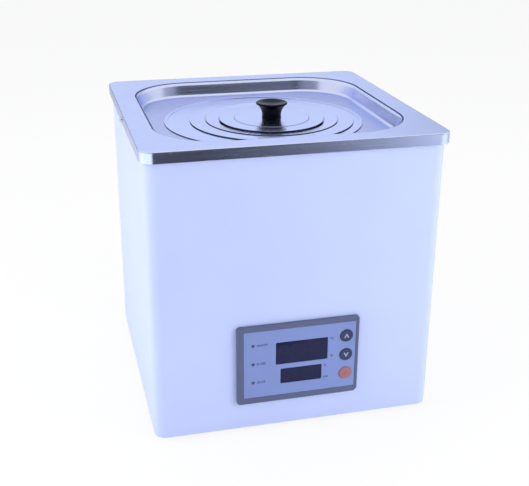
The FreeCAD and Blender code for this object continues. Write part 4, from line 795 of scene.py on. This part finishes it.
# Indicator lamps: a lens with a collar behind the face, standing on the board
LENS_R, COLLAR_R = 0.0015, 0.0023
COLLAR_FRONT = FACE_BACK - 0.001
LENS_FRONT = FACE_FRONT + 0.0002
LENS_EDGE = ((0.0, 0.0006), (0.0002, 0.0001), (0.0007, 0.0))
lens_profile = [(0.0, -BOARD_FRONT), (COLLAR_R, -BOARD_FRONT), (COLLAR_R, -COLLAR_FRONT)]
lens_profile.append((LENS_R, -COLLAR_FRONT))
lens_profile += [(LENS_R - a, -(LENS_FRONT - b)) for a, b in LENS_EDGE]
lens_profile.append((0.0, -LENS_FRONT))
for i, z in enumerate(LAMP_Z):
    lens_mesh = lathe(f"lamp_{i}", lens_profile, (LAMP_X, AXIS_Y, z), axis="y", steps=48)
    lens = add_object(f"lamp_{i}", lens_mesh, "casing")
    if i == 0:
        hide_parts("indicator_leds")
    dress(lens, lamp)


# Floor, light and camera
def stage_plane(name, size, place, turn=(0, 0, 0)):
    """A plain rectangle that isn't part of the object."""
    mesh = bpy.data.meshes.new(name)
    a, b = size[0] / 2, size[1] / 2
    mesh.from_pydata([(-a, -b, 0), (a, -b, 0), (a, b, 0), (-a, b, 0)], [], [(0, 1, 2, 3)])
    thing = bpy.data.objects.new(name, mesh)
    thing.location = place
    thing.rotation_euler = turn
    bpy.context.scene.collection.objects.link(thing)
    return thing


def maths(tree, operation, first, second):
    """The result of an output with another output or with a number."""
    node = tree.nodes.new("ShaderNodeMath")
    node.operation = operation
    tree.links.new(first, node.inputs[0])
    if isinstance(second, float):
        node.inputs[1].default_value = second
    else:
        tree.links.new(second, node.inputs[1])
    return node.outputs[0]


def blended(tree, share, first, second, end):
    """Mixes two shaders by a share and links the mix to the end node."""
    blend = tree.nodes.new("ShaderNodeMixShader")
    tree.links.new(share, blend.inputs[0])
    tree.links.new(first.outputs[0], blend.inputs[1])
    tree.links.new(second.outputs[0], blend.inputs[2])
    tree.links.new(blend.outputs[0], end.inputs["Surface"])


# The camera sees the floor nearly white; GLOW is the share of plain white in it
GLOW = 0.88
floor = stage_plane("floor", (8, 8), (0, 0, 0))
material, tree, bsdf = shader("floor_white")
bsdf.inputs["Base Color"].default_value = (0.90, 0.90, 0.90, 1)
bsdf.inputs["Roughness"].default_value = 0.9
glow = tree.nodes.new("ShaderNodeEmission")
glow.inputs["Color"].default_value = (1, 1, 1, 1)
glow.inputs["Strength"].default_value = 1.0
rays = tree.nodes.new("ShaderNodeLightPath").outputs
seen = maths(tree, "MULTIPLY", rays["Is Camera Ray"], GLOW)
blended(tree, seen, bsdf, glow, tree.nodes["Material Output"])
floor.data.materials.append(material)

# White where it is seen, in gloss and through glass, and a dimmer cool light for the rest
world = bpy.data.worlds.new("studio")
bpy.context.scene.world = world
world.use_nodes = True
tree = world.node_tree
room = tree.nodes["Background"]
room.inputs["Color"].default_value = (0.92, 0.94, 1.0, 1)
room.inputs["Strength"].default_value = 0.55
white = tree.nodes.new("ShaderNodeBackground")
white.inputs["Color"].default_value = (1, 1, 1, 1)
white.inputs["Strength"].default_value = 1.0
rays = tree.nodes.new("ShaderNodeLightPath").outputs
seen = maths(tree, "MAXIMUM", rays["Is Camera Ray"], rays["Is Glossy Ray"])
seen = maths(tree, "MAXIMUM", seen, rays["Is Transmission Ray"])
blended(tree, seen, room, white, tree.nodes["World Output"])


def area_lamp(name, place, target, size, power):
    """A soft square lamp aimed at a point."""
    data = bpy.data.lights.new(name, "AREA")
    data.shape = "RECTANGLE"
    data.size, data.size_y = size
    data.energy = power
    thing = bpy.data.objects.new(name, data)
    thing.location = place
    aim = Vector(target) - Vector(place)
    thing.rotation_euler = aim.to_track_quat("-Z", "Y").to_euler()
    bpy.context.scene.collection.objects.link(thing)
    thing.visible_glossy = False


area_lamp("left_softbox", (-1.35, -0.15, 0.7), (0, 0, 0.15), (0.9, 0.9), 13)
area_lamp("right_softbox", (1.0, -0.9, 0.5), (0.08, 0, 0.15), (0.7, 0.7), 9.5)
area_lamp("top_softbox", (0, 0.3, 1.6), (0, 0, 0.2), (1.2, 1.2), 7)

FLAG_TINT = (0.78, 0.84, 1.0)


def gloss_flag(name, size, place, turn, stops, strength=1.0):
    """A studio flag or card seen only in gloss, its level from left to right given by stops."""
    flag = stage_plane(name, size, place, turn)
    flag.visible_camera = False
    flag.visible_diffuse = False
    flag.visible_shadow = False
    flag.visible_transmission = False
    material, tree, _ = shader(name)
    coords = tree.nodes.new("ShaderNodeTexCoord")
    split = tree.nodes.new("ShaderNodeSeparateXYZ")
    tree.links.new(coords.outputs["Object"], split.inputs[0])
    along = tree.nodes.new("ShaderNodeMapRange")
    along.inputs["From Min"].default_value = -size[0] / 2
    along.inputs["From Max"].default_value = size[0] / 2
    tree.links.new(split.outputs["X"], along.inputs["Value"])
    ramp = tree.nodes.new("ShaderNodeValToRGB")
    tree.links.new(along.outputs["Result"], ramp.inputs["Fac"])
    marks = ramp.color_ramp.elements
    for position, level in stops:
        mark = {0: marks[0], 1: marks[len(marks) - 1]}.get(position) or marks.new(position)
        mark.color = [level / strength * c for c in FLAG_TINT] + [1]
    glow = tree.nodes.new("ShaderNodeEmission")
    glow.inputs["Strength"].default_value = strength
    tree.links.new(ramp.outputs["Color"], glow.inputs["Color"])
    tree.links.new(glow.outputs[0], tree.nodes["Material Output"].inputs["Surface"])
    flag.data.materials.append(material)


# What the polished sheet mirrors, as (place from left to right, level): a front with a dark band
# low and high, a rear that gets duller to the right, and a strip low at the rear, dark at its right
UPRIGHT = (math.radians(90), 0, 0)
LEANING = (math.radians(180 - 28), 0, 0)
LOW_FRONT = (
    (0, 1.6), (0.325, 1.6), (0.345, 0.03), (0.39, 0.05), (0.45, 0.18), (0.475, 0.33), (0.51, 0.68),
    (0.54, 1.4), (1, 1.6),
)
HIGH_FRONT = (
    (0, 0.40), (0.38, 0.30), (0.42, 0.05), (0.46, 0.06), (0.52, 0.17), (0.537, 0.04), (0.549, 0.05),
    (0.56, 0.22), (0.60, 0.45), (1, 0.6),
)
REAR = ((0, 1.05), (0.45, 1.05), (0.56, 0.80), (1, 0.7))
REAR_LOW = ((0, 0.35), (0.60, 0.35), (0.67, 0.04), (1, 0.04))
gloss_flag("low_front_flag", (3.0, 0.74), (0.30, -0.725, 0.176), LEANING, LOW_FRONT, 1.6)
gloss_flag("high_front_flag", (3.0, 0.55), (0.30, -1.05, 0.625), UPRIGHT, HIGH_FRONT)
gloss_flag("rear_flag", (3.6, 3.0), (1.0, 2.0, 2.12), UPRIGHT, REAR, 1.1)
gloss_flag("rear_low_flag", (5.0, 0.76), (0.0, 2.0, 0.10), UPRIGHT, REAR_LOW)

# Camera of the photograph: place, angles in radians, and focal length and width in pixels
CAMERA_PLACE = (-0.21729, -0.88268, 0.49946)
AROUND, ABOVE, ROLL, FOCAL = -0.24906, 0.38738, 0.00552, 912.48
PHOTO_WIDTH = 529
SENSOR = 36
back = Vector(
    (math.sin(AROUND) * math.cos(ABOVE), -math.cos(AROUND) * math.cos(ABOVE), math.sin(ABOVE))
)
right = Vector((math.cos(AROUND), math.sin(AROUND), 0))
up = back.cross(right)
turned_right = right * math.cos(ROLL) + up * math.sin(ROLL)
turned_up = up * math.cos(ROLL) - right * math.sin(ROLL)
optics = bpy.data.cameras.new("camera")
optics.sensor_width = SENSOR
optics.lens = FOCAL * SENSOR / PHOTO_WIDTH
optics.clip_start = 0.01
camera = bpy.data.objects.new("camera", optics)
camera.matrix_world = Matrix.Translation(CAMERA_PLACE) @ Matrix(
    (
        (turned_right.x, turned_up.x, back.x, 0),
        (turned_right.y, turned_up.y, back.y, 0),
        (turned_right.z, turned_up.z, back.z, 0),
        (0, 0, 0, 1),
    )
)
bpy.context.scene.collection.objects.link(camera)
bpy.context.scene.camera = camera
bpy.context.scene.view_settings.view_transform = "Standard"
